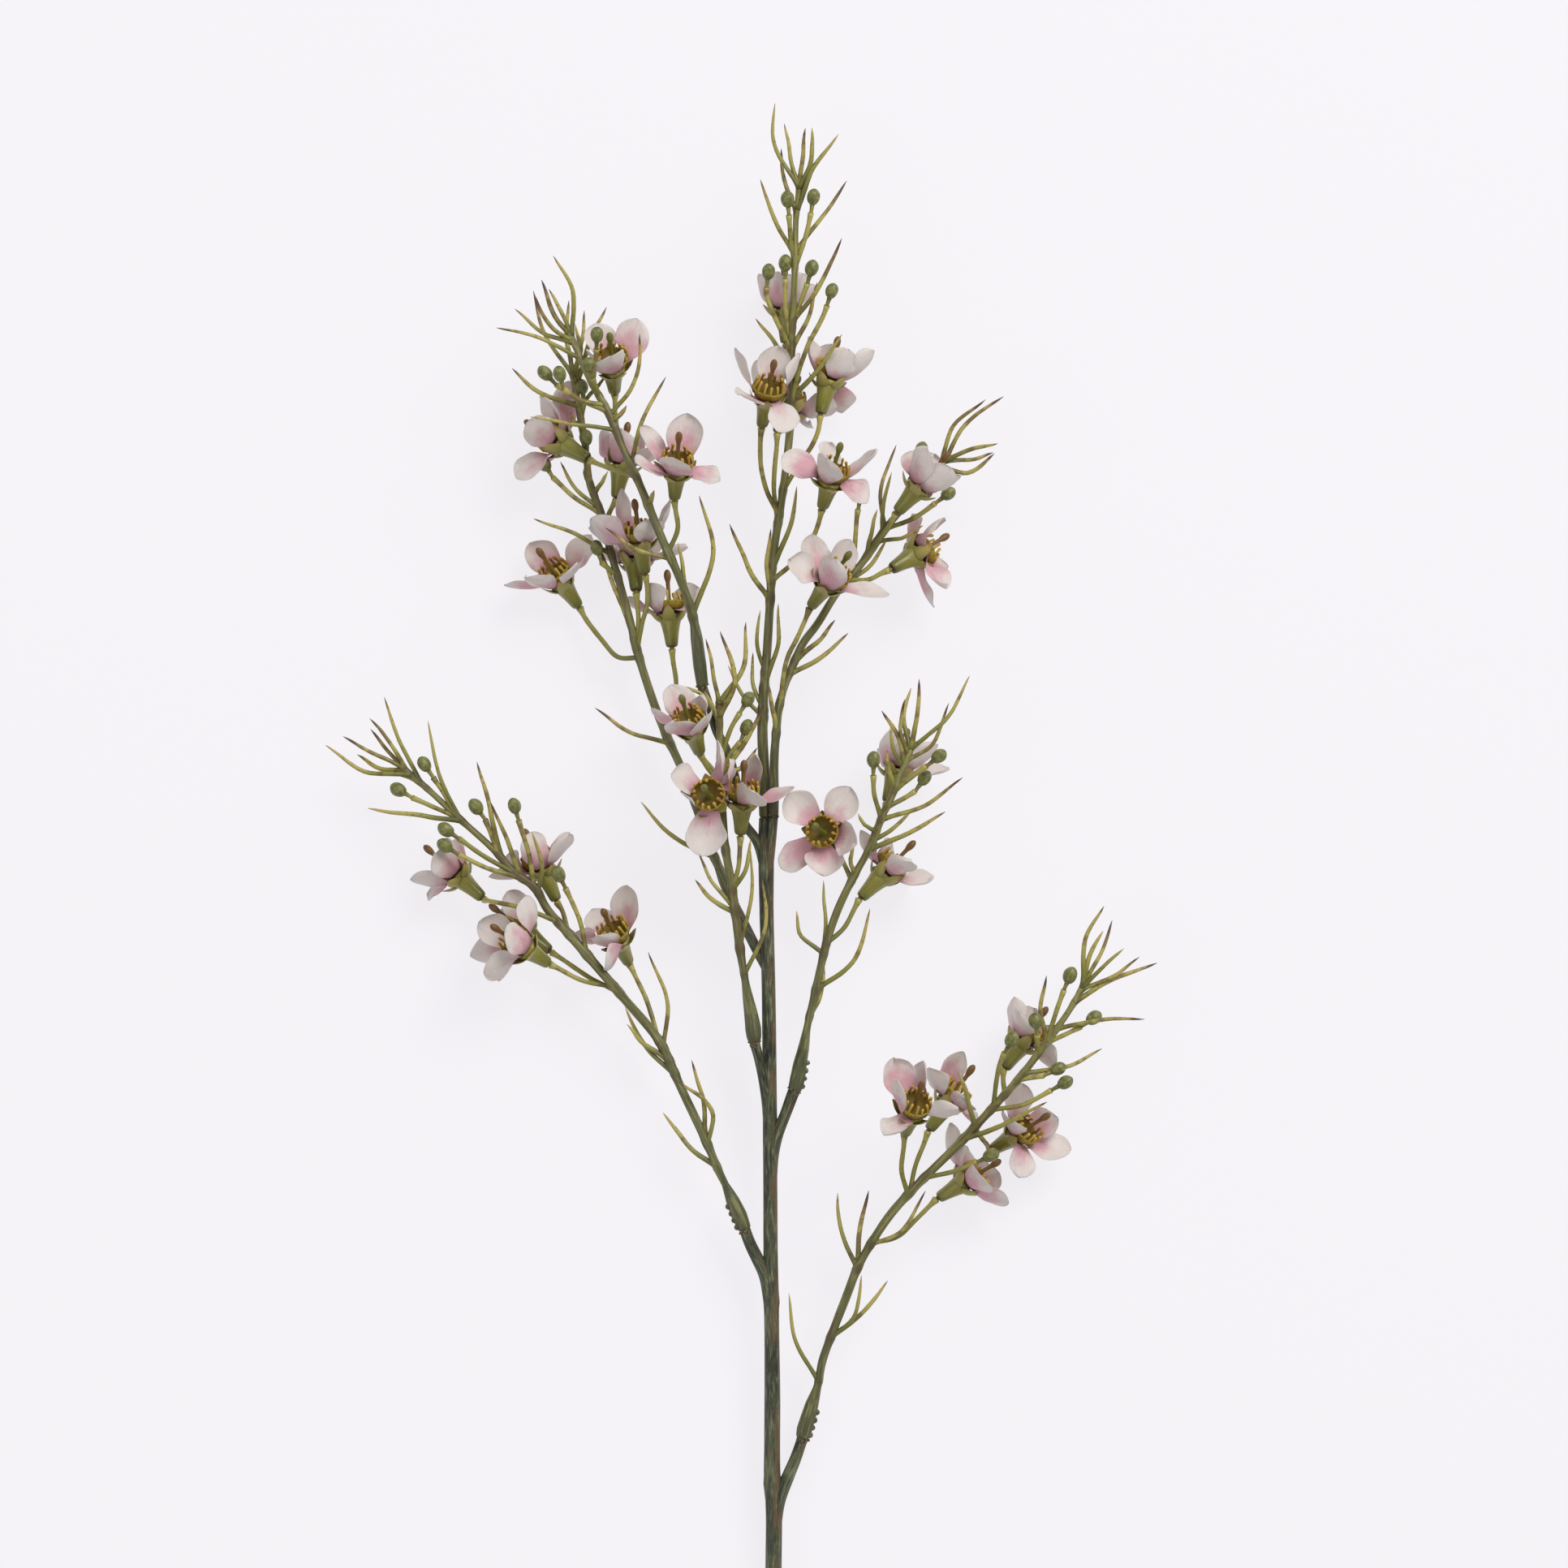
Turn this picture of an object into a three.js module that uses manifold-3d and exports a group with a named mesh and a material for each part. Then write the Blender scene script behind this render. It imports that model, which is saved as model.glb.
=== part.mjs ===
// Waxflower stem, lying on a table: one main stem with stub arms, eight side sprigs plugged on to
// them, and a whorl of five petals threaded on every calyx. Millimetres, +Z up, tip towards +Y.
import * as THREE from 'three';
import Module from 'manifold-3d';

const wasm = await Module();
wasm.setup();

// ---- driving dimensions ----
const CLEARANCE = 0.3;          // between pieces that fit together

const PEG_RADIUS = 0.95;        // peg on the end of each stub arm
const PEG_LENGTH = 6;
const STEM_SIDES = 8;
const TWIG_SIDES = 5;

const NEEDLE_RADIUS = 0.66;
const NEEDLE_TAPER = 0.85;      // radius left half-way along
const NEEDLE_LIFT = 0.4;        // share of the rise reached half-way along

const STALK_RADIUS = 0.75;
// [distance along from the middle of the bud, radius]
const BUD_PROFILE = [[-2.7, 1.1], [-0.4, 2.05], [1.3, 1.6], [2.4, 0]];

const TRUMPET_LENGTH = 3;       // flared end of a flower's stalk
const MOUTH = 11;               // height of the ring of petals above the calyx's foot
// rings up a flower from its foot; where tips are given, every second point stands out to them
const FLOWER_PROFILE = [
  { count: 5, height: 0, radius: 1.7 },
  { count: 5, height: 3.2, radius: 2.75 },
  { count: 5, height: 9, radius: 3.4 },
  { count: 10, height: 9.6, radius: 3.4, tips: 7.8 },      // sepals
  { count: 5, height: 10.2, radius: 1.4 },                 // neck through the ring of petals
  { count: 5, height: 11.8, radius: 1.7 },
  { count: 10, height: 14.4, radius: 4.3, tips: 4.5, tipRise: 2.6 },     // stamens on the cup's rim
  { count: 5, height: 13, radius: 2.2 },                   // floor of the cup
  { count: 3, height: 13, radius: 0.5 },                   // style
  { count: 3, height: 22, radius: 0.95 },
  { count: 1, height: 24.5, radius: 0 },
];

const PETALS = 5;
const PETAL_LENGTH = 12.5;
const PETAL_HALF_WIDTH = 5.2;
const PETAL_THICKNESS = 1;      // at the middle of the blade, falling to a keen edge
const PETAL_LIFT = 1.2;         // the edges stand above the middle, as in a shallow spoon
// two places along a blade, with the shares of its half width and of its lift there
const BLADE_WIDEST = { share: 0.6, width: 1, lift: 1 };
const BLADE_END = { share: 0.87, width: 0.68, lift: 0.6 };
const RING_INNER = 2.7;
const RING_OUTER = 3.9;
const RING_HALF_THICKNESS = 0.4;
const ROOT_HALF_ANGLE = 26;     // degrees of the ring that a blade grows from, to each side
const ROOT_SHARE = 0.42;        // most of the gap to the next blade that its half root may take

const NUBS = 3;                 // moulding nubs on a sleeve
const NUB_START = 2.5;
const NUB_STEP = 3;
const NUB_REACH = 3.2;
const NUB_RADII = [1.4, 0.5];

const GREEN = 0x6b7542;
const DARK_GREEN = 0x4a5138;
const PETAL_COLOUR = 0xe9dcda;

// ---- the stem: axis points [x, y, z, radius] ----
const MAIN_AXIS = [
  [0, -70, 2.6, 2.7], [0, 0, 7.2, 2.5], [0, 20, 8.4, 2.55], [-0.3, 25.5, 8.7, 2.85],
  [-0.4, 28, 8.8, 2.6], [-0.4, 36, 9.2, 2.45], [-0.3, 52, 10.1, 2.4], [-0.5, 72, 11.2, 2.3],
  [-0.6, 79.5, 11.6, 2.35], [-0.6, 81.5, 11.7, 2.55], [-0.7, 84, 11.8, 2.4],
  [-0.9, 98, 12.5, 2.2], [-1, 115, 13.3, 2.2], [-1.1, 133, 14.2, 2.25], [-1.2, 150, 15, 2.15],
  [-1.5, 180, 16.5, 2.15], [-2.2, 205, 17.8, 2.2], [-2.3, 222, 18.8, 2.45],
  [-2.35, 231, 19.2, 2.1],
];

// stub arms that the side sprigs plug on to, each from inside the main stem to its butt
const STUBS = [
  [[-1.6, 214, 18.4, 1.4], [-0.6, 223, 21.4, 1.4], [0.1, 231.3, 22.7, 1.35]],
  [[-2.3, 214, 18.4, 1.5], [-5.5, 224.6, 19, 1.5], [-8.8, 229, 19.3, 1.5], [-11, 240, 20, 1.45],
    [-14.5, 252, 21.5, 1.45], [-17.5, 258, 22.5, 1.4], [-19.5, 265, 23.4, 1.4],
    [-21.7, 271.3, 24.3, 1.4]],
  [[-1.6, 184, 16.7, 1.7], [-6.5, 193, 14.5, 1.6], [-9.5, 199, 13.2, 1.6], [-12, 204, 12.5, 1.5]],
  [[-1.25, 136, 14.5, 1.9], [-1.9, 144, 15, 1.85], [-3.1, 151, 16.4, 1.65],
    [-4.6, 157.5, 17.9, 1.55], [-5.7, 161.6, 19, 1.65]],
  [[-0.9, 120, 13.6, 2], [-0.4, 127, 14, 2.05], [1, 133, 14.4, 1.95], [3.6, 139.5, 14.9, 1.75],
    [6.3, 146.7, 15.6, 1.85]],
  [[-0.7, 76, 11.5, 2.05], [-1.4, 84, 11.9, 2.15], [-2.6, 90, 12.2, 2.1], [-4.9, 95, 12.5, 1.95],
    [-7.4, 100.3, 12.9, 1.8], [-8.6, 103.5, 13.1, 1.75]],
  [[0.1, 8, 7.7, 2.25], [0.5, 14, 8.1, 2.3], [1.6, 20, 8.5, 2.15], [4.3, 27, 8.9, 1.95],
    [6.8, 33, 9.1, 1.78], [8.8, 38.9, 9.3, 1.7]],
];

// ---- the sprigs ----
// stem: [x, y, z, radius]. needle: [root x, y, middle x, y, tip x, y, rise].
// bud: [centre x, y, rise, then stalk points x, y back to the stem].
// flower: foot and mouth are [x, y, z] at the two ends of the calyx; stalk: points back to the stem;
// petal: [tip x, tip y, slope from -1 down to 1 up, half width in plan, curl], where a half width
// over 0 has the inner face upwards and one under 0 the outer face.
const SPRIGS = [
  {
    name: 'crown',
    stem: [
      [-2.35, 231.4, 19.3, 2.1], [-2.5, 236, 19.6, 2.2], [-2.8, 244, 20, 1.7], [-3.3, 256, 20.3, 1.6],
      [-2.9, 270, 20.5, 1.5], [-2.2, 280, 20.5, 1.35], [-1.1, 297, 20.5, 1.3], [0, 312, 20.5, 1.25],
      [2.7, 330, 20.5, 1.2], [4.6, 346, 20.8, 1.2], [5.5, 358, 22, 1.15], [5.6, 375, 25, 1.1],
      [6.2, 390, 28, 1], [6.6, 402, 29, 0.95], [7, 416, 29, 0.85], [8, 425.5, 29, 0.8],
    ],
    needles: [
      [7.9, 424.5, -0.4, 441, 0.5, 450.4, 3], [7.8, 424, 5.4, 434, 3.3, 444.5, -2],
      [8, 424.5, 8.8, 434, 9.8, 443, 1], [8, 424.5, 11.9, 434.5, 11.8, 442.8, 6],
      [7.2, 418, 12.4, 430.5, 20, 441, 4], [7, 417, 3.2, 427.5, 2.4, 437, -4],
      [6.7, 404, 0.2, 415, -4, 427, 4], [6.7, 405, 16, 417, 22.5, 427, -3],
      [5.9, 384, 14.6, 395, 21, 409, 6], [5.6, 375, 10.5, 385, 13.5, 396, -3],
      [5.5, 364, -0.3, 378, -5.5, 385, -6], [5.5, 360, 14.6, 370, 21, 379.5, 10],
      [-0.3, 308, 5, 320, 7.2, 333, 4], [-2.8, 271, 1.3, 285, 1.5, 297, 5],
      [-1.1, 298, -7.6, 308, -13.5, 321.5, 5],
      [-2.6, 276, -5.3, 285.6, -4, 295, 3], [-3.2, 264, -6.6, 274, -6.3, 282, -3],
      [-3.3, 262, -9, 268, -14, 278, 2],
    ],
    buds: [
      [4.3, 421.2, 4, 4.8, 416, 5.4, 408, 6.5, 401], [12.3, 422, 2, 11.5, 416.5, 10, 410, 6.6, 400],
      [3.7, 401.8, 4, 3.6, 396, 3.8, 388, 5.6, 377], [-1.5, 399, 7, -2.2, 393, 0, 386, 5.6, 375],
      [11.8, 400.2, 3, 10.4, 395, 8.5, 390, 5.9, 382],
      [18, 393, 12, 15.8, 386.5, 10.5, 376, 6.2, 362, 5.4, 357],
    ],
    flowers: [
      {
        foot: [3.8, 377.5, 14], mouth: [3.6, 388.4, 13.2],
        stalk: [[4.3, 373, 17], [5, 367, 20.4], [5.5, 360.5]],
        petals: [
          [-4.9, 398.8, -0.18, -2.8, 16], [2.2, 399, 0.82, -3.8, 51], [8.8, 398.9, 0.59, -3.2, 20],
          [13, 395.7, -0.28, -1.5, 4], [4.1, 399.4, -0.78, 4.5, 26],
        ],
      },
      {
        foot: [-3.6, 351.5, 27], mouth: [-1.8, 360.5, 33],
        stalk: [[-4, 347], [-3.9, 340], [-2.5, 333], [1.7, 324]],
        petals: [
          [-11.7, 375.4, 0.17, -1, 42], [-10.2, 360.8, 0.98, 1.4, 23], [5.5, 349.8, 0.4, 4.8, 10],
          [7.9, 374, 0.17, -0.9, 43], [1.2, 376.4, -0.25, 5.4, 31],
        ],
      },
      {
        foot: [1.3, 350, 21.6], mouth: [4.3, 358, 15.2],
        stalk: [[1, 345.5], [0.3, 338], [0.2, 331], [1.2, 322]],
        petals: [
          [-5.5, 372, 0.93, -4.4, 26], [9.5, 373.5, 0.1, -0.7, 63], [19.9, 358.3, -0.94, -3.8, 18],
          [9.8, 354.3, -0.56, 3.7, 9], [-4.6, 360.3, -1, -1.9, 40],
        ],
      },
      {
        foot: [14.5, 355.5, 21.5], mouth: [17, 366.3, 20],
        stalk: [[14, 351], [12.5, 347], [8, 340], [3, 332]],
        petals: [
          [11.1, 379.4, -0.06, 2.2, 32], [31.3, 374.7, -0.47, -2.6, 44],
          [22.8, 375.4, 0.41, -5.1, 26], [21.4, 356.2, -0.95, -4.9, 28],
          [18.7, 377.1, -0.58, 5.4, 75],
        ],
      },
      {
        foot: [15, 326.3, 31], mouth: [17.6, 335.2, 36],
        stalk: [[14, 322], [12.5, 318], [9.5, 313], [-0.6, 304]],
        petals: [
          [3, 342.8, -0.3, 4.3, 26], [16.2, 341.3, 0.99, -3.7, 29], [29.1, 328.1, -0.02, 3.4, 3],
          [31.9, 344.3, 0.01, 2, 24], [17.5, 346.2, -0.63, 3.2, 25],
        ],
      },
    ],
  },
  {
    name: 'upper_right',
    stem: [
      [0.1, 231.7, 22.8, 1.4], [0.2, 238, 23.2, 1.45], [0.3, 250, 23.4, 1.4], [0.8, 256, 23, 1.2],
      [2.1, 267, 22.4, 1.2], [5.9, 278, 21.6, 1.2], [9.2, 285, 21, 1.2], [13, 290, 20.5, 1.2],
      [20, 301, 20, 1.2], [26, 308, 20, 1.15], [36, 322, 20, 1.1], [45, 332, 19.5, 1],
      [53, 341.3, 19.5, 0.8],
    ],
    needles: [
      [51, 339, 55.6, 351.6, 65.3, 359.8, 4], [52.8, 341, 59.3, 352.5, 71, 361, -3],
      [52.8, 341, 61.5, 344.7, 69, 346.2, 5], [52.8, 341, 60.2, 341.4, 67.8, 343.8, -5],
      [51, 339, 60, 337.4, 68.1, 343.3, 1], [34.2, 319.8, 33.2, 333, 37.9, 346.1, -5],
      [29, 312.2, 30, 319, 32, 326, 5],
      [31.5, 316.4, 39.5, 317.3, 46, 321, 7], [21.5, 303, 29, 308, 35, 317, -4],
      [6.5, 279.3, 12.2, 284, 19, 292, 3], [5, 275.5, 15, 280.3, 23, 288, -3],
      [0.9, 257, -0.3, 265, -1.2, 271.5, 4],
    ],
    buds: [
      [45.8, 345, -6, 44.6, 340, 41, 327.5], [54, 331, 3, 50.6, 328.5, 43.5, 323.5, 34.5, 320.3],
      [27, 331, 4, 25.8, 324.5, 25.3, 318, 24.5, 306.3],
    ],
    flowers: [
      {
        foot: [38, 325, 32], mouth: [45.2, 333.2, 34], stalk: [[36, 321.5], [31, 314]],
        petals: [
          [43.7, 343.9, -0.11, 4.5, 35], [47, 344.5, 1, -4.2, 29], [54.5, 338.3, 0.73, -5, 24],
          [57.3, 336.7, 0.16, -1.6, 32], [50.5, 342.4, -0.53, 5.2, 27],
        ],
      },
      {
        foot: [36.3, 307.7, 20.6], mouth: [44.4, 312.6, 15.6],
        stalk: [[33.5, 306.5], [29.5, 304.5], [23, 304.5]],
        petals: [
          [43, 325.1, -0.46, -1.8, 15], [52.7, 323.6, 0.45, 0.7, 54],
          [54.1, 308.5, -0.19, 2.9, 70], [53.7, 301.7, 0.86, 3.3, 32],
          [49.8, 296.1, -0.37, -0.7, 45],
        ],
      },
      {
        foot: [11.5, 296, 29], mouth: [17, 303.5, 35],
        stalk: [[10, 292.5], [7.6, 287], [4.6, 281], [1.8, 266]],
        petals: [
          [12.2, 318.2, -0.73, 4.5, 58], [4.5, 310.2, 0.6, 4.3, 30], [19.2, 310.2, 0.87, -4.8, 35],
          [35.6, 299.7, 0.37, 2.5, 11], [24.4, 316.1, -0.65, 4.5, 19],
        ],
      },
    ],
  },
  {
    name: 'left_front',
    stem: [
      [-21.85, 271.7, 24.4, 1.8], [-22.6, 278, 25.4, 2.1], [-23.5, 286, 27, 1.9], [-24.2, 290.5, 28.5, 1.4],
      [-25.9, 297, 31, 1.3], [-29.2, 305.5, 33.5, 1.3], [-33.6, 315.3, 35.5, 1.3], [-37.7, 325.5, 36, 1.25],
      [-41.8, 335.3, 36, 1.2], [-46.4, 345, 35, 1.1], [-50, 354, 34, 1.1], [-57, 367, 32, 1],
      [-62.5, 380, 30, 0.85],
    ],
    needles: [
      [-62.2, 379, -61.4, 392.5, -67.5, 403.5, 4], [-62.4, 379.5, -65.3, 387, -69, 393.5, 1],
      [-62.2, 378.8, -67, 385.5, -71.3, 396.5, -3], [-61.8, 377.5, -68.7, 382, -73.5, 392, 4],
      [-61.5, 376.5, -71, 380.5, -79.5, 387.5, -2], [-59.5, 372, -72, 378.5, -85, 381.5, 2],
      [-50.2, 354.5, -41.6, 367, -41, 379.5, 4], [-43.5, 339.3, -39.3, 355, -33, 366.5, -3],
      [-48.6, 350, -61, 351.9, -74.5, 354, 4],
      [-24.8, 293, -18.5, 315, -22.8, 330, 3], [-25.7, 296.5, -27.6, 306, -29.2, 315.5, 4],
      [-31.5, 310.5, -41.5, 313.5, -51.5, 320, 4],
    ],
    buds: [
      [-70.2, 367.7, 2, -67.6, 365, -62.5, 361, -51, 355.8],
      [-65.5, 367.3, 7, -64.6, 363.5, -60, 359.6, -52, 357.7],
      [-54, 379.3, 9, -54.2, 375, -54.7, 370, -55.5, 364.2], [-56.5, 370, 8, -55.6, 366.5, -53.5, 360.5],
    ],
    flowers: [
      {
        foot: [-48.9, 362, 22.5], mouth: [-49.5, 370, 30],
        stalk: [[-48.7, 358.5], [-48.6, 355.5], [-47.6, 348]],
        petals: [
          [-54.6, 383.3, -0.37, 5, 26], [-56, 373.6, 0.43, -1.4, 17], [-49.5, 372.5, 1, -4.7, 29],
          [-43.1, 379.9, -0.66, -1.2, 8], [-41.7, 384.5, -0.2, 5.2, 3],
        ],
      },
      {
        foot: [-30.3, 329, 35.5], mouth: [-29.6, 338, 42],
        stalk: [[-30, 325.5], [-29.3, 320], [-32.5, 312.5]],
        petals: [
          [-42.1, 339.6, 1, 2, 26], [-30, 340.8, 1, -4.8, 26], [-16.5, 334, 0.2, 2.8, 26],
          [-26.3, 355.2, -0.4, 5.6, 26], [-40.8, 351, -0.1, 2.8, 26],
        ],
      },
      {
        foot: [-57, 341.5, 21.2], mouth: [-66, 347, 16.6], stalk: [[-54, 340], [-49, 338], [-42, 335.7]],
        petals: [
          [-79.5, 335.9, 0.02, 3.6, 19], [-76.5, 351.8, 0.85, -5.1, 21],
          [-72, 361.2, 0.39, 2.4, 43], [-63.2, 365.9, -0.3, -3.7, 12],
          [-70.4, 341, -0.89, 0.8, 28],
        ],
      },
    ],
  },
  {
    name: 'left_back',
    stem: [
      [-12.25, 204.4, 12.4, 1.7], [-13.6, 208, 12.2, 2], [-15.3, 212, 12, 1.9], [-17, 216, 12, 1.4],
      [-18.6, 219.7, 12, 1.35], [-24, 235, 12, 1.35], [-28.9, 247.5, 12, 1.3], [-32.8, 256, 12, 1.3],
      [-38.2, 270, 12.5, 1.3], [-42.6, 284.6, 14, 1.25], [-44, 291, 15, 1.2], [-46.8, 301.5, 16, 1.2],
      [-50.5, 314, 16.2, 1.15], [-53.8, 326.4, 15.2, 1.1], [-56.7, 334.5, 14.6, 1.05], [-58, 345, 15.2, 1],
      [-60, 358, 20, 0.95], [-62, 368, 22, 0.85],
    ],
    needles: [
      [-62, 367.6, -71, 381.5, -74, 393.5, -3], [-62, 367.5, -63.7, 383, -63, 390.5, -2],
      [-61.4, 365, -58.9, 379, -58.3, 387.5, -4], [-61, 363, -56.8, 377, -51.5, 388.5, -4],
      [-61.7, 367, -59.5, 375, -61, 383, 2], [-60, 358, -71, 361.5, -80.5, 369.5, 1],
      [-54, 327, -60.5, 332, -65.8, 341, -2],
      [-50, 312.5, -61.5, 318.5, -74, 323.3, 1],
      [-42.9, 286, -48, 300, -53.5, 314, 3], [-32, 254, -43, 257, -55.1, 265, 3],
      [-18.3, 219, -31, 225, -40.9, 236, 3],
    ],
    buds: [
      [-57.8, 348.5, 3.4, -57.4, 344, -56.4, 334], [-59, 364, 3, -58.4, 359.5, -59.4, 354],
      [-54.5, 314.5, 3, -53.2, 310.5, -48, 305.5], [-70.8, 340.5, -1, -68, 336, -61.5, 330, -53.6, 325],
    ],
    flowers: [
      {
        foot: [-48.4, 329.8, 13.2], mouth: [-46.8, 340.4, 12.6], stalk: [[-50, 326.5], [-52.4, 321]],
        petals: [
          [-53.6, 350.3, -0.3, -2.5, 38], [-46.3, 350.7, 0.59, -4.6, 19],
          [-34.2, 345.4, 1, -2.2, 24], [-40.9, 349.9, -0.28, 3.1, 31],
          [-49.6, 346.9, -0.75, 4.6, 34],
        ],
      },
      {
        foot: [-60.3, 296.5, 6.5], mouth: [-66, 304.5, 11],
        stalk: [[-58.6, 293.5], [-53, 286], [-48, 280.7], [-41.3, 280.5]],
        petals: [
          [-83.2, 302.8, 0, -1.3, 26], [-75.9, 305.1, 0.78, -2.1, 25], [-60.1, 309.2, 1, -0.8, 26],
          [-57, 318.9, 0.14, 4.3, 28], [-74.5, 316.8, -0.3, 5.2, 26],
        ],
      },
      {
        foot: [-39.5, 306.5, 20], mouth: [-41, 316.7, 23.5],
        stalk: [[-39, 303], [-38.8, 298], [-40.5, 291], [-42.2, 283]],
        petals: [
          [-56.9, 320.5, 0.75, -3, 26], [-46.8, 332.6, -0.38, 2.5, 80],
          [-37.2, 322, 0.69, -4.2, 36], [-31.8, 329.4, -0.62, 0.7, 61],
          [-56.4, 322.8, -0.37, -3.9, 52],
        ],
      },
      {
        foot: [-42.3, 301, 17], mouth: [-42.6, 310.4, 12.4],
        stalk: [[-42, 297.5], [-41.6, 292], [-42, 284]],
        petals: [
          [-53.2, 312.2, -0.27, -1.8, 35], [-43.4, 324.1, -0.55, -6.1, 7],
          [-26.4, 314.6, 0.02, -1, 33], [-37.5, 318.5, -0.86, 4, 33],
          [-47.7, 317.2, -0.94, 3.3, 22],
        ],
      },
      {
        foot: [-31.3, 283.7, 16.5], mouth: [-32, 294.5, 15.5],
        stalk: [[-31, 280], [-30, 272.5], [-33, 256.5]],
        petals: [
          [-45.6, 297.4, -0.95, -1, 30], [-38.8, 303.2, 0, -3.6, 22],
          [-22.5, 301.3, 0.57, 2.7, 24], [-26.4, 303, -0.17, 2.6, 31], [-28.9, 298.2, -1, 3.2, 0],
        ],
      },
    ],
  },
  {
    name: 'centre',
    stem: [
      [-5.8, 162, 19.1, 1.9], [-5.9, 163.8, 19.3, 2.25], [-6.1, 166, 19.5, 2.4],
      [-6.9, 171, 19.9, 2.05], [-7.9, 176, 20.4, 1.65], [-8.9, 181.7, 21, 1.08],
      [-10.2, 189.4, 22, 1.35], [-11.6, 201, 23.4, 1.3], [-12.8, 210.6, 24.4, 1.3],
      [-14.8, 222, 25, 1.25], [-16, 240, 25, 1.2], [-16.4, 252, 25.4, 1.1], [-16.8, 267, 26, 0.9],
    ],
    needles: [
      [-16.7, 266.8, -18.6, 276.5, -20.8, 286.2, 2], [-16.4, 262, -11.9, 272, -16.4, 288.4, 3],
      [-16.6, 266, -9.6, 277, -8.5, 291.3, 0], [-16.5, 261, -22.5, 269.5, -30.5, 272, 3],
      [-15.9, 244.3, -7.6, 256, -2.5, 267, 3],
      [-12, 203, -18.6, 211, -23.2, 220.5, -2],
      [-11.8, 202, -18.8, 205.8, -24.1, 212, -4], [-12.6, 209, -8.2, 216, -7, 224.5, 1],
      [-10.4, 191, -6.9, 206, -7, 221, 0], [-8.9, 182.7, -2.2, 198, -3.5, 212.3, 3],
    ],
    buds: [
      [-7.7, 267.7, 3, -9.8, 264.2, -12.6, 259.5, -16.2, 249],
      [-8.2, 259.2, 1, -9.6, 255.8, -12, 252.4, -16, 245],
      [-25.7, 256, 1, -23.7, 252.4, -21.3, 249, -16.1, 243],
    ],
    flowers: [
      {
        foot: [-17.8, 234.8, 30.5], mouth: [-19.4, 237.5, 41], stalk: [[-17, 231, 27], [-14.6, 221]],
        petals: [
          [-31.3, 244.4, 0.48, 3.4, 0], [-21.5, 219.3, 0.36, 6.1, 37], [-17.2, 255, 0.93, 0.7, 78],
          [-12, 249.2, -0.66, 0.7, 37], [-28, 238.9, 0.45, 1, 45],
        ],
      },
      {
        foot: [-10.1, 226, 28], mouth: [-9.6, 236.3, 30.5],
        stalk: [[-10.3, 222], [-10.6, 217], [-12.6, 209]],
        petals: [
          [-21, 243.1, 0.29, -1.5, 35], [-5.9, 239.4, 0.86, -5.2, 16], [6.5, 240.4, 0.23, 2, 42],
          [-5, 250.8, -0.68, 3.3, 19], [-14.9, 246.2, -0.92, -1.2, 35],
        ],
      },
      {
        foot: [-22.6, 251, 28], mouth: [-25.2, 259, 35], stalk: [[-21.5, 248.5], [-16.1, 241]],
        petals: [
          [-37.1, 264.9, 0.43, -2, 38], [-29.8, 260.5, 0.89, -4.6, 23],
          [-21.1, 261.8, 1, -2.7, 30], [-21.9, 269.2, 0.05, 2.3, 37],
          [-30.8, 272.3, -0.31, 4.8, 31],
        ],
      },
    ],
  },
  {
    name: 'mid_right',
    nubs: -1,
    stem: [
      [6.5, 147.1, 15.7, 2.1], [7.4, 150.5, 15.9, 2.4], [8.2, 155, 16.2, 2.2], [9.3, 160, 16.6, 1.8],
      [10.2, 165.4, 16.9, 1.2], [10.7, 168, 17.2, 1.05], [12.2, 174.5, 17.8, 1.2],
      [14.3, 184, 18.6, 1.25], [16.3, 192.3, 19.4, 1.2], [20.1, 203.4, 20.4, 1.2],
      [24.4, 212.5, 21.4, 1.15], [29.3, 221.3, 23, 1.1], [33.7, 232, 25.4, 1.05], [37, 239, 28, 1],
      [40.9, 248.8, 30, 0.9], [42.3, 252.6, 30.4, 0.8],
    ],
    needles: [
      [40.4, 247.5, 38.2, 256, 33.2, 264, 3], [42, 252, 40, 261.5, 42.3, 271, -3],
      [42.2, 252.3, 44.4, 263, 44.7, 273.7, 3], [42.2, 252.3, 52.8, 261, 60.2, 274.7, 2],
      [40.9, 248.5, 49, 254, 53.9, 266.4, -3], [40, 246.6, 36.5, 253, 35.8, 259, 5],
      [41.6, 250.5, 38.9, 259, 40.3, 267.5, 6],
      [33.1, 230.5, 46.5, 235, 58.2, 243.5, 3], [29.3, 221, 42, 226.9, 52.9, 233, 4],
      [25, 213.6, 23.8, 218.5, 24.8, 224, 5], [15.6, 189, 7.9, 196, 7.1, 202.4, 2],
      [15.6, 189.4, 15.9, 200, 15.4, 211.8, -3], [11, 169.8, 15, 177.5, 15.4, 187, -3],
      [13, 178, 25.5, 188, 29.7, 203, 3],
    ],
    buds: [
      [30.8, 249.2, 4, 30.7, 244.5, 30.9, 239, 33.2, 230.8],
      [51, 250.2, 4, 47, 247, 42.3, 243.5, 37.2, 239.4],
      [46.6, 243.5, 0, 44.4, 240.4, 42, 238.2, 34.8, 234.4],
    ],
    flowers: [
      {
        foot: [18.4, 224.1, 17], mouth: [15.7, 226.3, 27.4],
        stalk: [[19.6, 221.5], [21.5, 217.5], [24, 211.8]],
        petals: [
          [2.6, 215.2, 0, 4.6, 26], [15, 213.2, 0.4, 6, 26], [25.8, 224.2, 0.85, 5.4, 26],
          [23.8, 240.6, 0.2, 5.7, 26], [4.6, 238.6, 0.2, 5.5, 26],
        ],
      },
      {
        foot: [26.9, 206.4, 16], mouth: [34.5, 214.3, 14.5],
        stalk: [[25.2, 203.6], [22, 197.5], [16.3, 192.3]],
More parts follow.
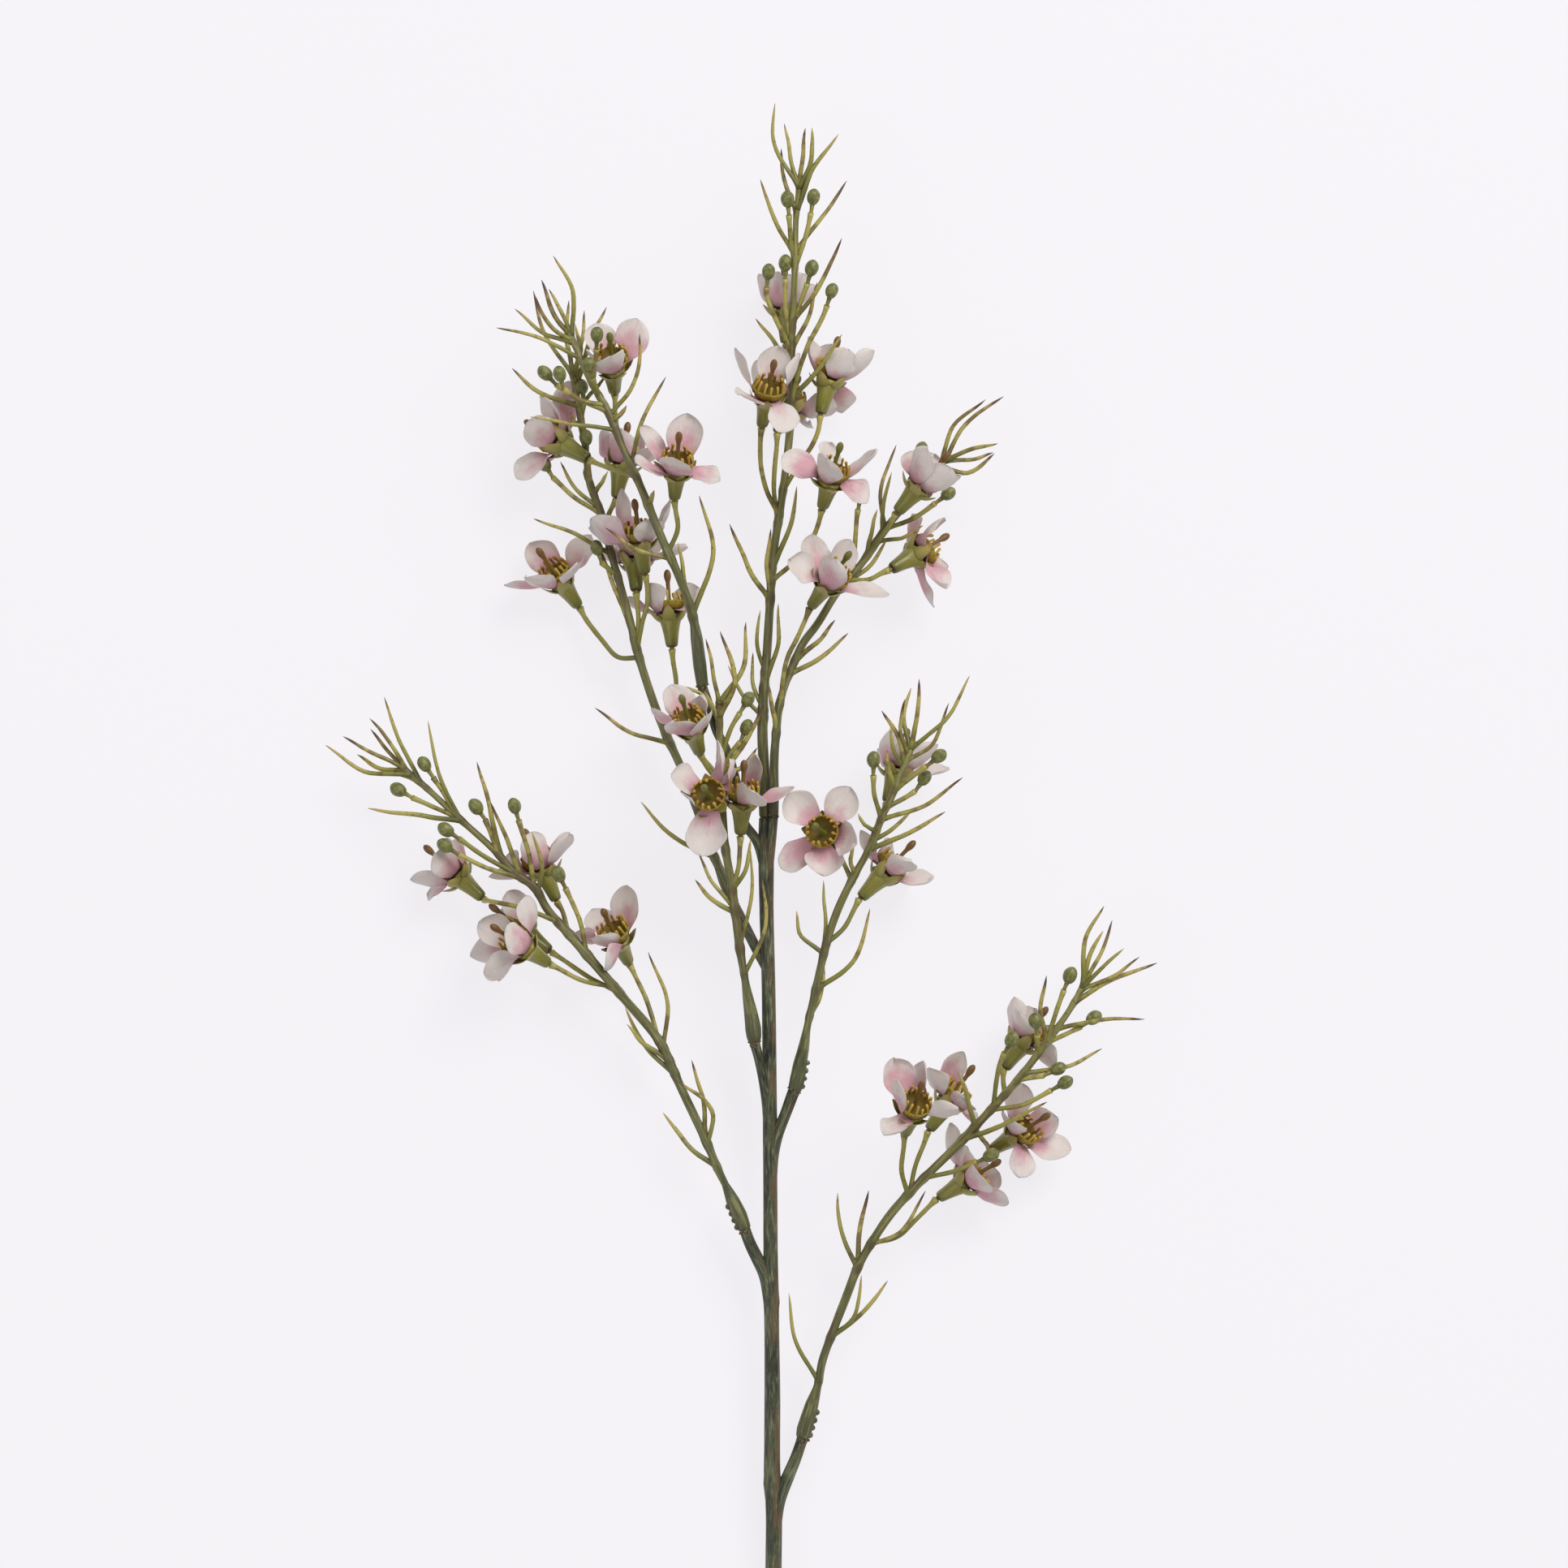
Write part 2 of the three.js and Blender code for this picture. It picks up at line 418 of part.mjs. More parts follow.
        petals: [
          [27, 227.3, 0, -2.4, 26], [42.5, 217.5, 0.8, -3.8, 26], [49.6, 212.5, -0.1, 2.7, 26],
          [42, 213.1, -1, 3.2, 26], [36.5, 224.2, -0.5, 2.4, 26],
        ],
      },
      {
        foot: [35, 236, 16.6], mouth: [38, 246.2, 13.8], stalk: [[34.2, 232.5], [31.2, 225.6]],
        petals: [
          [36.7, 258.7, -0.1, -3.5, 26], [42.5, 256.6, 0.29, -3.3, 33],
          [50.2, 254.2, 0.32, -2.9, 33], [54.4, 246.3, -0.22, 2.1, 29],
          [32.3, 252.7, -0.34, -1.8, 17],
        ],
      },
    ],
  },
  {
    name: 'lower_left',
    nubs: 1,
    stem: [
      [-8.8, 104, 13.2, 2], [-10.6, 108.5, 13.4, 2.4], [-12.6, 113, 13.6, 2.1], [-14.9, 118, 14, 1.15],
      [-16.4, 121, 14.2, 1.25], [-20.3, 130.2, 14.8, 1.3], [-29.5, 150, 15.4, 1.35],
      [-34.1, 160.3, 15.8, 1.35],
      [-46.5, 176, 18.8, 1.4], [-54.3, 185.2, 21.4, 1.4], [-62.2, 194.3, 21, 1.4], [-70, 203.5, 19, 1.3],
      [-73.3, 209.4, 19.4, 1.2], [-79.5, 214, 19.4, 1.15], [-85.6, 220.6, 19, 1.1], [-95.9, 230, 18, 1],
      [-106.2, 239.6, 17, 0.9], [-113.8, 246.3, 16.5, 0.8],
    ],
    needles: [
      [-108.5, 241.7, -114.9, 253.6, -119.9, 268.3, 3], [-113.4, 246, -118.2, 254.4, -124.4, 261.7, 3],
      [-113.4, 246, -124, 251.4, -132.7, 256.2, 1],
      [-112.8, 245.4, -121, 246.3, -128.5, 250.6, -4], [-111.5, 244.3, -126, 245.6, -138, 253.5, 3],
      [-96.5, 230.5, -103, 244, -106.4, 261, 4],
      [-96.3, 230.3, -111, 231.9, -125, 234, 1], [-84, 218.9, -87.2, 233.5, -91.3, 248.3, 3],
      [-77.5, 212.6, -82.2, 224.3, -87, 236, 7], [-72.6, 208, -71.4, 217.5, -74.2, 226.8, 9],
      [-34, 160.2, -32.8, 173, -38.6, 189.7, 2], [-30.5, 152.2, -39, 159.5, -45.8, 172.7, -3],
      [-32.3, 156, -39.5, 161.2, -45.2, 167.5, 2], [-20.8, 131.3, -22, 145, -25.2, 156.4, 3],
      [-20.3, 130.3, -18.6, 139.5, -30, 150.5, 6], [-17.4, 123.3, -25.5, 129.2, -34.1, 140, -2],
    ],
    buds: [
      [-107.7, 247.8, 2, -105, 243.8, -101.8, 239, -97.5, 231.5],
      [-115.9, 239.9, -2, -111.6, 237.4, -105, 234.5, -96.9, 231],
      [-91.8, 234.7, 2, -88.8, 230.6, -86.7, 225.3, -84.6, 219.5],
      [-79.7, 235, 9, -77.9, 228.8, -75.4, 220.5, -73.7, 209.8],
      [-101, 227.6, 5, -96.2, 224.3, -88.7, 219, -79.5, 214],
      [-101.3, 222.7, 4, -96.6, 219.6, -88.7, 215.8, -77.5, 212.5],
      [-66.2, 214, 6, -63.6, 208.8, -59.6, 199.5, -57.4, 188.8],
    ],
    flowers: [
      {
        foot: [-89.8, 206.3, 12.5], mouth: [-98, 213.6, 11.6],
        stalk: [[-87, 205.3, 18], [-80, 204, 23.4], [-72.6, 201.6, 22], [-66, 198.8, 18.5]],
        petals: [
          [-112.1, 212.3, -0.05, -2.1, 26], [-104, 220, 0.62, -4.7, 25],
          [-97.7, 225, -0.08, -2.3, 26], [-101.5, 224.5, -0.7, 3, 26],
          [-107, 207.3, -0.57, 2.2, 19],
        ],
      },
      {
        foot: [-67, 205.5, 12.5], mouth: [-71.5, 215.5, 12.6],
        stalk: [[-65.2, 202.5], [-64.2, 199.4], [-63, 195.2]],
        petals: [
          [-83.8, 217.7, 0.34, 3.9, 30], [-75.6, 226.3, 0.61, -4.3, 30],
          [-63.5, 225.9, 1, -1.9, 26], [-63.4, 226.8, 0.08, -2.5, 24],
          [-88, 213.3, 0.13, -2.2, 31],
        ],
      },
      {
        foot: [-69.3, 186.2, 20], mouth: [-77.2, 191.6, 25.6],
        stalk: [[-66.5, 184.8], [-59.6, 181.2], [-49, 179]],
        petals: [
          [-84.7, 180.8, -0.36, -2, 23], [-89.1, 184.3, 0.95, -4.2, 30],
          [-82.3, 196.7, 0.95, -3.9, 31], [-75.6, 207.3, 0.59, -3.4, 59],
          [-90.6, 199.4, -0.29, 5.1, 40],
        ],
      },
      {
        foot: [-44.7, 186.2, 9.6], mouth: [-48.3, 193.8, 15.6],
        stalk: [[-42.8, 182.4], [-39.3, 175], [-35.2, 161.7]],
        petals: [
          [-62.4, 194.6, 0.05, -2.3, 27], [-55, 194.8, 0.68, -2.8, 28],
          [-51.8, 184.6, 0.74, -2, 35], [-45.6, 210.4, 0.14, 4.2, 35],
          [-57.1, 202.2, -0.81, 4.1, 17],
        ],
      },
      {
        foot: [-69, 189.9, 14], mouth: [-77.5, 196.4, 12], stalk: [[-66, 188], [-57, 182], [-47.5, 177.2]],
        petals: [
          [-89.7, 199.7, -0.45, 1.8, 59], [-93.6, 188.6, 0.27, -4.2, 75],
          [-82.3, 208.3, 0.11, -4.8, 36], [-80.7, 207.9, -0.7, 3.6, 27],
          [-86.8, 199.4, -0.94, 4.8, 22],
        ],
      },
    ],
  },
  {
    name: 'lower_right',
    nubs: -1,
    stem: [
      [8.95, 39.35, 9.4, 2.1], [9.7, 42, 9.45, 2.5], [10.9, 46, 9.6, 2.35], [12, 50, 9.8, 2.05],
      [13.7, 55.8, 10, 1.1],
      [15, 63, 10.6, 1.3], [17.9, 71.4, 11.5, 1.3], [22.7, 83.8, 13, 1.3], [26, 92.4, 14, 1.3],
      [30.3, 100, 15, 1.3], [36.1, 108.7, 16, 1.3], [43.7, 117.3, 17, 1.3], [58.1, 131.7, 19, 1.3],
      [69.6, 144, 21.5, 1.2], [76.3, 151.8, 23, 1.1], [82, 159.4, 24.5, 1.1], [91.6, 172.8, 25, 0.95],
      [95.4, 179.5, 24.5, 0.85],
    ],
    needles: [
      [95.3, 179.2, 96, 193.5, 101.6, 204, 4], [95.3, 179.3, 101.3, 190.5, 104.3, 199.6, -3],
      [95, 178.6, 97.6, 189, 101.4, 196.3, 1], [95, 178.7, 101.7, 185.7, 107.7, 191, 5],
      [94.6, 178, 104.4, 182.6, 112.6, 188.3, 1], [92.5, 174.2, 105, 181.7, 118.1, 186.4, -3],
      [86.8, 166, 99, 168.9, 114.1, 169.2, 4], [83.9, 162.2, 82.3, 173, 83.9, 182.6, 5],
      [76.8, 152.3, 89.5, 154.3, 101.2, 160, -3], [58.5, 132, 71.5, 137, 83.9, 144, 17],
      [25.8, 92, 20, 107, 19.8, 115.4, 3], [26, 92.4, 27, 105, 29.4, 116, -2],
      [30, 99.5, 39.5, 103.6, 46.9, 116.2, 4], [17.6, 70.6, 24.7, 76.5, 27.2, 90, 2],
      [13.8, 57, 6.4, 71, 4.75, 84.3, 2],
      [62, 135.9, 59.6, 145.5, 56.7, 153, 12],
    ],
    buds: [
      [91.3, 182.9, 3, 89.2, 178, 86.8, 171, 84.2, 162.5],
      [98.8, 169.7, -1, 94.6, 166.8, 90.5, 164.8, 83.6, 161.6],
      [80.4, 169, 6, 81, 165, 81.5, 158.7], [73.4, 163.2, 8, 70.6, 158, 68.6, 150, 67.8, 142.1],
      [87.8, 154, 1, 84.5, 152.4, 80, 151.2, 75.2, 150.5],
      [90, 149.8, 3, 85.4, 147.2, 77, 142.8, 67, 141.2],
      [67.2, 127.4, 6, 62.9, 125.2, 56.2, 122.4, 46.5, 120.1],
    ],
    flowers: [
      {
        foot: [40.4, 134, 26], mouth: [42.8, 141.4, 33.8], stalk: [[40.1, 130], [39.4, 123], [41.5, 114.8]],
        petals: [
          [38.1, 150.8, 0.92, -2.4, 25], [33.3, 134.3, 0.67, 3.1, 24],
          [56.6, 142.1, 0.69, -2.9, 37], [46.1, 156.6, -0.22, 2.4, 34],
          [36.7, 157.5, -0.07, 5, 37],
        ],
      },
      {
        foot: [48, 134.8, 14.6], mouth: [54.3, 143.8, 14.4], stalk: [[46.6, 131], [44, 124.5], [42, 115.4]],
        petals: [
          [58.6, 159, -0.42, 3.4, 40], [48.7, 154.2, 0.28, -3.7, 26],
          [60.3, 143.2, 0.42, -3.4, 31], [63.7, 136, 0, 1, 39], [53.9, 156.4, -0.49, 3.6, 26],
        ],
      },
      {
        foot: [71.3, 153.8, 15.5], mouth: [77.3, 162.3, 13.8], stalk: [[70.8, 150], [71.3, 146]],
        petals: [
          [74.9, 175.9, -0.42, -2.4, 31], [76, 171.3, 0.6, -2.8, 26], [87.4, 156, 0.27, -3.2, 29],
          [87.3, 166.8, -0.2, 2.4, 28], [80.6, 172, -0.71, 4.3, 16],
        ],
      },
      {
        foot: [67.5, 128.3, 7], mouth: [75.5, 133.5, 12],
        stalk: [[66, 130, 10.4], [64.4, 132, 15.8], [62, 135.6]],
        petals: [
          [76.3, 149.3, 0.05, 4, 31], [72, 139.2, 0.81, -2.5, 21], [76.4, 120.1, 0.43, 4, 17],
          [91.9, 128.3, 0.12, 4.3, 26], [87.9, 138.7, 0.19, 4.5, 34],
        ],
      },
      {
        foot: [50.9, 113.7, 12.6], mouth: [59.6, 119, 13.4],
        stalk: [[48.3, 111.4], [43.7, 106.8], [38, 101.7], [30.3, 100]],
        petals: [
          [55, 137.1, -0.13, -3.2, 26], [65.3, 119.5, 1, -4.8, 26], [72.6, 112, 0.1, -2.4, 26],
          [69.8, 121.5, -0.4, 4.8, 26], [59.8, 129.5, -0.6, 3.5, 26],
        ],
      },
    ],
  },
];

// ---- small helpers ----
const point = ([x, y, z]) => new THREE.Vector3(x, y, z);
const radians = THREE.MathUtils.degToRad;

function solid({ positions, triangles }) {
  const mesh = new wasm.Mesh({
    numProp: 3,
    vertProperties: new Float32Array(positions.flatMap((p) => [p.x, p.y, p.z])),
    triVerts: new Uint32Array(triangles.flat()),
  });
  return new wasm.Manifold(mesh);
}

const joined = (solids) => solids.reduce((sum, next) => sum.add(next));

// triangles between two rings in order of angle, which may have unlike counts
function stitch(triangles, lower, upper) {
  const closeness = (a, b) => a.facing.dot(b.facing);
  const start = upper.reduce((best, each, j) => (
    closeness(lower[0], each) > closeness(lower[0], upper[best]) ? j : best), 0);
  let i = 0;
  let j = 0;
  while (i < lower.length || (j < upper.length && upper.length > 1)) {
    const a = lower[i % lower.length];
    const b = upper[(start + j) % upper.length];
    const nextA = lower[(i + 1) % lower.length];
    const nextB = upper[(start + j + 1) % upper.length];
    const upperDone = j >= upper.length || upper.length === 1;
    if (upperDone || (i < lower.length && closeness(nextA, b) >= closeness(nextB, a))) {
      triangles.push([a.index, nextA.index, b.index]);
      i += 1;
    } else {
      triangles.push([a.index, nextB.index, b.index]);
      j += 1;
    }
  }
}

// closed skin over rings of points; a last ring of one point ends it in a tip
function skin(rings) {
  const positions = [];
  const triangles = [];
  const placed = rings.map(({ centre, points }) => points.map((p) => ({
    index: positions.push(p) - 1,
    facing: p.clone().sub(centre).normalize(),
  })));
  for (let i = 0; i < placed.length - 1; i++) stitch(triangles, placed[i], placed[i + 1]);
  const first = placed[0];
  const last = placed[placed.length - 1];
  for (let k = 1; k < first.length - 1; k++) {
    triangles.push([first[0].index, first[k + 1].index, first[k].index]);
  }
  for (let k = 1; k < last.length - 1; k++) {
    triangles.push([last[0].index, last[k].index, last[k + 1].index]);
  }
  return solid({ positions, triangles });
}

// rings across a path, each [radius, sides]; a radius of 0 gives a single point
function ringsAlong(path, sizes) {
  let side = new THREE.Vector3(0, 0, 1);
  return path.map((centre, i) => {
    const next = path[Math.min(i + 1, path.length - 1)];
    const ahead = next.clone().sub(path[Math.max(i - 1, 0)]).normalize();
    side = side.clone().addScaledVector(ahead, -side.dot(ahead));
    if (side.lengthSq() < 1e-4) side.set(0, 1, 0).addScaledVector(ahead, -ahead.y);
    side.normalize();
    const across = new THREE.Vector3().crossVectors(ahead, side);
    const [radius, sides] = sizes[i];
    if (radius === 0) return { centre, points: [centre] };
    const points = [];
    for (let k = 0; k < sides; k++) {
      const angle = (2 * Math.PI * (k + 0.5)) / sides;
      points.push(centre.clone()
        .addScaledVector(side, Math.cos(angle) * radius)
        .addScaledVector(across, Math.sin(angle) * radius));
    }
    return { centre, points };
  });
}

const tube = (path, radii, sides) => skin(ringsAlong(path, radii.map((r) => [r, sides])));

// point of a stem's axis that lies nearest to (x, y) in plan
function onAxis(stem, x, y) {
  let best = null;
  for (let i = 0; i < stem.length - 1; i++) {
    const [ax, ay, az] = stem[i];
    const [bx, by, bz] = stem[i + 1];
    const length2 = (bx - ax) ** 2 + (by - ay) ** 2;
    const t = THREE.MathUtils.clamp(((x - ax) * (bx - ax) + (y - ay) * (by - ay)) / length2, 0, 1);
    const near = new THREE.Vector3(ax + t * (bx - ax), ay + t * (by - ay), az + t * (bz - az));
    const distance = Math.hypot(near.x - x, near.y - y);
    if (!best || distance < best.distance) best = { near, distance };
  }
  return best.near;
}

// stalk points between the stem and an end; heights that aren't given follow the length
function stalkPath(stem, end, stalk) {
  const root = onAxis(stem, ...stalk[stalk.length - 1]);
  const route = stalk.slice(0, -1).reverse();
  const plan = [[root.x, root.y], ...route, [end.x, end.y]];
  const runs = [0];
  for (let i = 1; i < plan.length; i++) {
    runs.push(runs[i - 1] + Math.hypot(plan[i][0] - plan[i - 1][0], plan[i][1] - plan[i - 1][1]));
  }
  return plan.map(([x, y, z], i) => {
    if (i === 0) return root;
    if (i === plan.length - 1) return end;
    return new THREE.Vector3(x, y, z ?? root.z + ((end.z - root.z) * runs[i]) / runs[plan.length - 1]);
  });
}

// ---- needles and buds ----
function needle(stem, [rootX, rootY, midX, midY, tipX, tipY, rise]) {
  const root = onAxis(stem, rootX, rootY);
  const middle = new THREE.Vector3(midX, midY, root.z + NEEDLE_LIFT * rise);
  const tip = new THREE.Vector3(tipX, tipY, root.z + rise);
  return tube([root, middle, tip], [NEEDLE_RADIUS, NEEDLE_RADIUS * NEEDLE_TAPER, 0], 3);
}

function bud(stem, [x, y, rise, ...numbers]) {
  const stalk = [];
  for (let i = 0; i < numbers.length; i += 2) stalk.push([numbers[i], numbers[i + 1]]);
  const root = onAxis(stem, ...stalk[stalk.length - 1]);
  const centre = new THREE.Vector3(x, y, root.z + rise);
  const path = stalkPath(stem, centre, stalk);
  path.pop();
  const along = centre.clone().sub(path[path.length - 1]).normalize();
  const sizes = path.map(() => [STALK_RADIUS, 3]);
  for (const [distance, radius] of BUD_PROFILE) {
    path.push(centre.clone().addScaledVector(along, distance));
    sizes.push([radius, 5]);
  }
  return skin(ringsAlong(path, sizes));
}

// ---- flowers ----
// axis of a flower and the two directions across it
function flowerFrame({ foot, mouth }) {
  const origin = point(foot);
  const axis = point(mouth).sub(origin).normalize();
  const up = new THREE.Vector3(0, 0, 1).addScaledVector(axis, -axis.z).normalize();
  const across = new THREE.Vector3().crossVectors(up, axis);
  const length = point(mouth).distanceTo(origin);
  const at = (radius, angle, height) => origin.clone()
    .addScaledVector(axis, height)
    .addScaledVector(across, radius * Math.cos(angle))
    .addScaledVector(up, radius * Math.sin(angle));
  return { axis, across, up, length, at };
}

// the way round a flower's axis at an azimuth
function around({ axis, across, up }, azimuth) {
  const outward = across.clone().multiplyScalar(Math.cos(azimuth))
    .addScaledVector(up, Math.sin(azimuth));
  return new THREE.Vector3().crossVectors(axis, outward);
}

// tip of a blade of a length from its root, over its place in plan
function tipFrom(root, length, [x, y, slope]) {
  const run = Math.hypot(x - root.x, y - root.y);
  return new THREE.Vector3(x, y, root.z + slope * Math.sqrt(Math.max(0, length ** 2 - run ** 2)));
}

// a blade from its root at an azimuth to its tip; across is the way its width lies
function drawn(frame, azimuth, numbers) {
  const [, , , seen, curl] = numbers;
  const sideways = around(frame, azimuth);
  const root = frame.at(RING_OUTER, azimuth, frame.length);
  const chord = tipFrom(root, PETAL_LENGTH, numbers).sub(root);
  const heading = chord.clone().normalize();
  const level = new THREE.Vector3(-heading.y, heading.x, 0).normalize();
  const steep = new THREE.Vector3().crossVectors(heading, level);
  const halfWidth = Math.max(PETAL_HALF_WIDTH, Math.abs(seen));
  const roll = Math.acos(Math.abs(seen) / halfWidth);
  const rolled = [roll, -roll].map((angle) => level.clone().multiplyScalar(Math.cos(angle))
    .addScaledVector(steep, Math.sin(angle))
    .multiplyScalar(Math.sign(seen)));
  const across = rolled[rolled[0].dot(sideways) > rolled[1].dot(sideways) ? 0 : 1];
  return { azimuth, chord, across, halfWidth, curl: radians(curl) };
}

// how each petal stands: its root is half-way from its place in an even whorl to the side that it
// reaches to; turn is the whorl's own azimuth
function petalDirections(flower, frame) {
  const mouth = point(flower.mouth);
  const step = (2 * Math.PI) / PETALS;
  const reaching = flower.petals.map((numbers) => {
    const reach = tipFrom(mouth, PETAL_LENGTH + RING_OUTER, numbers).sub(mouth);
    return Math.atan2(reach.dot(frame.up), reach.dot(frame.across));
  });
  const total = (f) => reaching.reduce((sum, azimuth) => sum + f(PETALS * azimuth), 0);
  const turn = Math.atan2(total(Math.sin), total(Math.cos)) / PETALS;
  const offset = (azimuth, k) => {
    const away = azimuth - turn - k * step;
    return Math.atan2(Math.sin(away), Math.cos(away));
  };
  const slots = Array(PETALS).fill(null);
  reaching.forEach((azimuth, i) => {
    const away = (k) => Math.abs(offset(azimuth, k));
    let best = -1;
    slots.forEach((taken, k) => {
      if (!taken && (best < 0 || away(k) < away(best))) best = k;
    });
    slots[best] = drawn(frame, turn + best * step + offset(azimuth, best) / 2, flower.petals[i]);
  });
  return { turn, petals: slots };
}

// one ring with five blades growing from it, as one closed mesh
function petalWhorl(flower) {
  const frame = flowerFrame(flower);
  const directions = petalDirections(flower, frame).petals;
  const positions = [];
  const triangles = [];
  const put = (p) => positions.push(p) - 1;
  const gapAfter = (k) => {
    const next = directions[(k + 1) % PETALS].azimuth + (k === PETALS - 1 ? 2 * Math.PI : 0);
    return next - directions[k].azimuth;
  };
  const faces = (top, bottom, list) => {
    for (const [a, b, c] of list) {
      triangles.push([top[a], top[b], top[c]], [bottom[a], bottom[c], bottom[b]]);
    }
  };
  const inner = directions.map(({ azimuth }, k) => {
    const angle = azimuth + gapAfter(k) / 2;
    return [1, -1].map((s) => put(frame.at(RING_INNER, angle, frame.length + s * RING_HALF_THICKNESS)));
  });
  const outlines = directions.map((petal, k) => {
    const before = gapAfter((k + PETALS - 1) % PETALS);
    const left = petal.azimuth - Math.min(radians(ROOT_HALF_ANGLE), ROOT_SHARE * before);
    const right = petal.azimuth + Math.min(radians(ROOT_HALF_ANGLE), ROOT_SHARE * gapAfter(k));
    const beside = { before: inner[(k + PETALS - 1) % PETALS], after: inner[k] };
    return { ...blade(frame, petal, left, right, put), ...beside };
  });
  outlines.forEach(({ top, bottom, before, after }, k) => {
    const ringTop = { ...top, before: before[0], after: after[0] };
    const ringBottom = { ...bottom, before: before[1], after: after[1] };
    faces(ringTop, ringBottom, [
      ['before', 'left', 'right'], ['before', 'right', 'after'],
      ['left', 'wideLeft', 'wide'], ['left', 'wide', 'right'], ['wide', 'wideRight', 'right'],
      ['wideLeft', 'farLeft', 'wide'], ['farLeft', 'tip', 'wide'],
      ['tip', 'farRight', 'wide'], ['farRight', 'wideRight', 'wide'],
    ]);
    triangles.push([top.left, bottom.left, top.wideLeft], [top.right, top.wideRight, bottom.right]);
    triangles.push([before[0], after[0], after[1]], [before[0], after[1], before[1]]);
    const next = outlines[(k + 1) % PETALS];
    triangles.push([after[0], top.right, next.top.left], [after[1], next.bottom.left, bottom.right]);
    triangles.push([top.right, bottom.right, next.bottom.left]);
    triangles.push([top.right, next.bottom.left, next.top.left]);
  });
  return solid({ positions, triangles });
}

// vertices of one petal: its edges are shared by both faces, its middle is thick
function blade(frame, petal, left, right, put) {
  const start = frame.at(RING_OUTER, petal.azimuth, frame.length);
  const inner = new THREE.Vector3().crossVectors(petal.chord, petal.across).normalize();
  const sag = (petal.chord.length() * Math.tan(petal.curl / 2)) / 4;
  const along = (share) => start.clone()
    .addScaledVector(petal.chord, share)
    .addScaledVector(inner, -4 * sag * share * (1 - share));
  const station = ({ share, width, lift }) => {
    const centre = along(share);
    const edge = (s) => put(centre.clone()
      .addScaledVector(petal.across, s * width * petal.halfWidth)
      .addScaledVector(inner, lift * PETAL_LIFT));
    const face = (s) => put(centre.clone().addScaledVector(inner, (s * PETAL_THICKNESS) / 2));
    return { left: edge(-1), right: edge(1), top: face(1), bottom: face(-1) };
  };
  const root = (angle) => [1, -1].map((s) => (
    put(frame.at(RING_OUTER, angle, frame.length + s * RING_HALF_THICKNESS))));
  const rootLeft = root(left);
  const rootRight = root(right);
  const wide = station(BLADE_WIDEST);
  const far = station(BLADE_END);
  const tip = put(along(1));
  const shared = {
    wideLeft: wide.left, wideRight: wide.right, farLeft: far.left, farRight: far.right, tip,
  };
  return {
    top: { ...shared, left: rootLeft[0], right: rootRight[0], wide: wide.top },
    bottom: { ...shared, left: rootLeft[1], right: rootRight[1], wide: wide.bottom },
  };
}

// stalk, calyx with five sepals, the neck through the petals, the toothed cup and the style
function flowerBody(stem, flower) {
  const frame = flowerFrame(flower);
  const { turn } = petalDirections(flower, frame);
  const stretch = frame.length / MOUTH;
  const path = stalkPath(stem, point(flower.foot), flower.stalk);
  const foot = path.pop();
  const before = path[path.length - 1];
  const narrow = foot.distanceTo(before) > 1.4 * TRUMPET_LENGTH;
  if (narrow) path.push(foot.clone().lerp(before, TRUMPET_LENGTH / foot.distanceTo(before)));
  const rings = ringsAlong(path, path.map(() => [STALK_RADIUS, 3]));
  for (const { count, height, radius, tips, tipRise = 0 } of FLOWER_PROFILE) {
    const points = [];
    for (let k = 0; k < count; k++) {
      const isTip = tips !== undefined && k % 2 === 1;
      const level = height * stretch + (isTip ? tipRise : 0);
      points.push(frame.at(isTip ? tips : radius, turn + (2 * Math.PI * k) / count, level));
    }
    rings.push({ centre: frame.at(0, 0, height * stretch), points });
  }
  return skin(rings);
}

// ---- stems and their joints ----
const axisPoints = (stem) => stem.map(([x, y, z]) => new THREE.Vector3(x, y, z));
const axisRadii = (stem) => stem.map(([, , , r]) => r);

// round bar from a joint's face along the next sprig's axis
function jointBar(start, towards, radius, back, length) {
  const along = point(towards).sub(point(start)).normalize();
  const from = point(start).addScaledVector(along, -back);
  const to = point(start).addScaledVector(along, length);
  return tube([from, to], [radius, radius], TWIG_SIDES);
}

// moulding nubs down one side of a sleeve
function sleeveNubs(stem, side) {
  const nubs = [];
  const along = point(stem[2]).sub(point(stem[0])).normalize();
  const outward = new THREE.Vector3(-along.y * side, along.x * side, 0);
  for (let k = 0; k < NUBS; k++) {
    const centre = onAxis(stem, stem[0][0], stem[0][1] + NUB_START + NUB_STEP * k);
    const tip = centre.clone().addScaledVector(outward, NUB_REACH);
    nubs.push(tube([centre, tip], NUB_RADII, 3));
  }
  return nubs;
}

function mainStem() {
  const parts = [tube(axisPoints(MAIN_AXIS), axisRadii(MAIN_AXIS), STEM_SIDES)];
  for (const stub of STUBS) parts.push(tube(axisPoints(stub), axisRadii(stub), TWIG_SIDES));
  for (const { stem } of SPRIGS) parts.push(jointBar(stem[0], stem[1], PEG_RADIUS, 1.5, PEG_LENGTH));
  return joined(parts);
}

function sprigBody({ stem, nubs, needles, buds, flowers }) {
  let body = tube(axisPoints(stem), axisRadii(stem), TWIG_SIDES);
  if (nubs) body = joined([body, ...sleeveNubs(stem, nubs)]);
  for (const each of needles) body = body.add(needle(stem, each));
  for (const each of buds) body = body.add(bud(stem, each));
  for (const each of flowers) body = body.add(flowerBody(stem, each));
  return body.subtract(jointBar(stem[0], stem[1], PEG_RADIUS + CLEARANCE, 1, PEG_LENGTH + CLEARANCE));
}

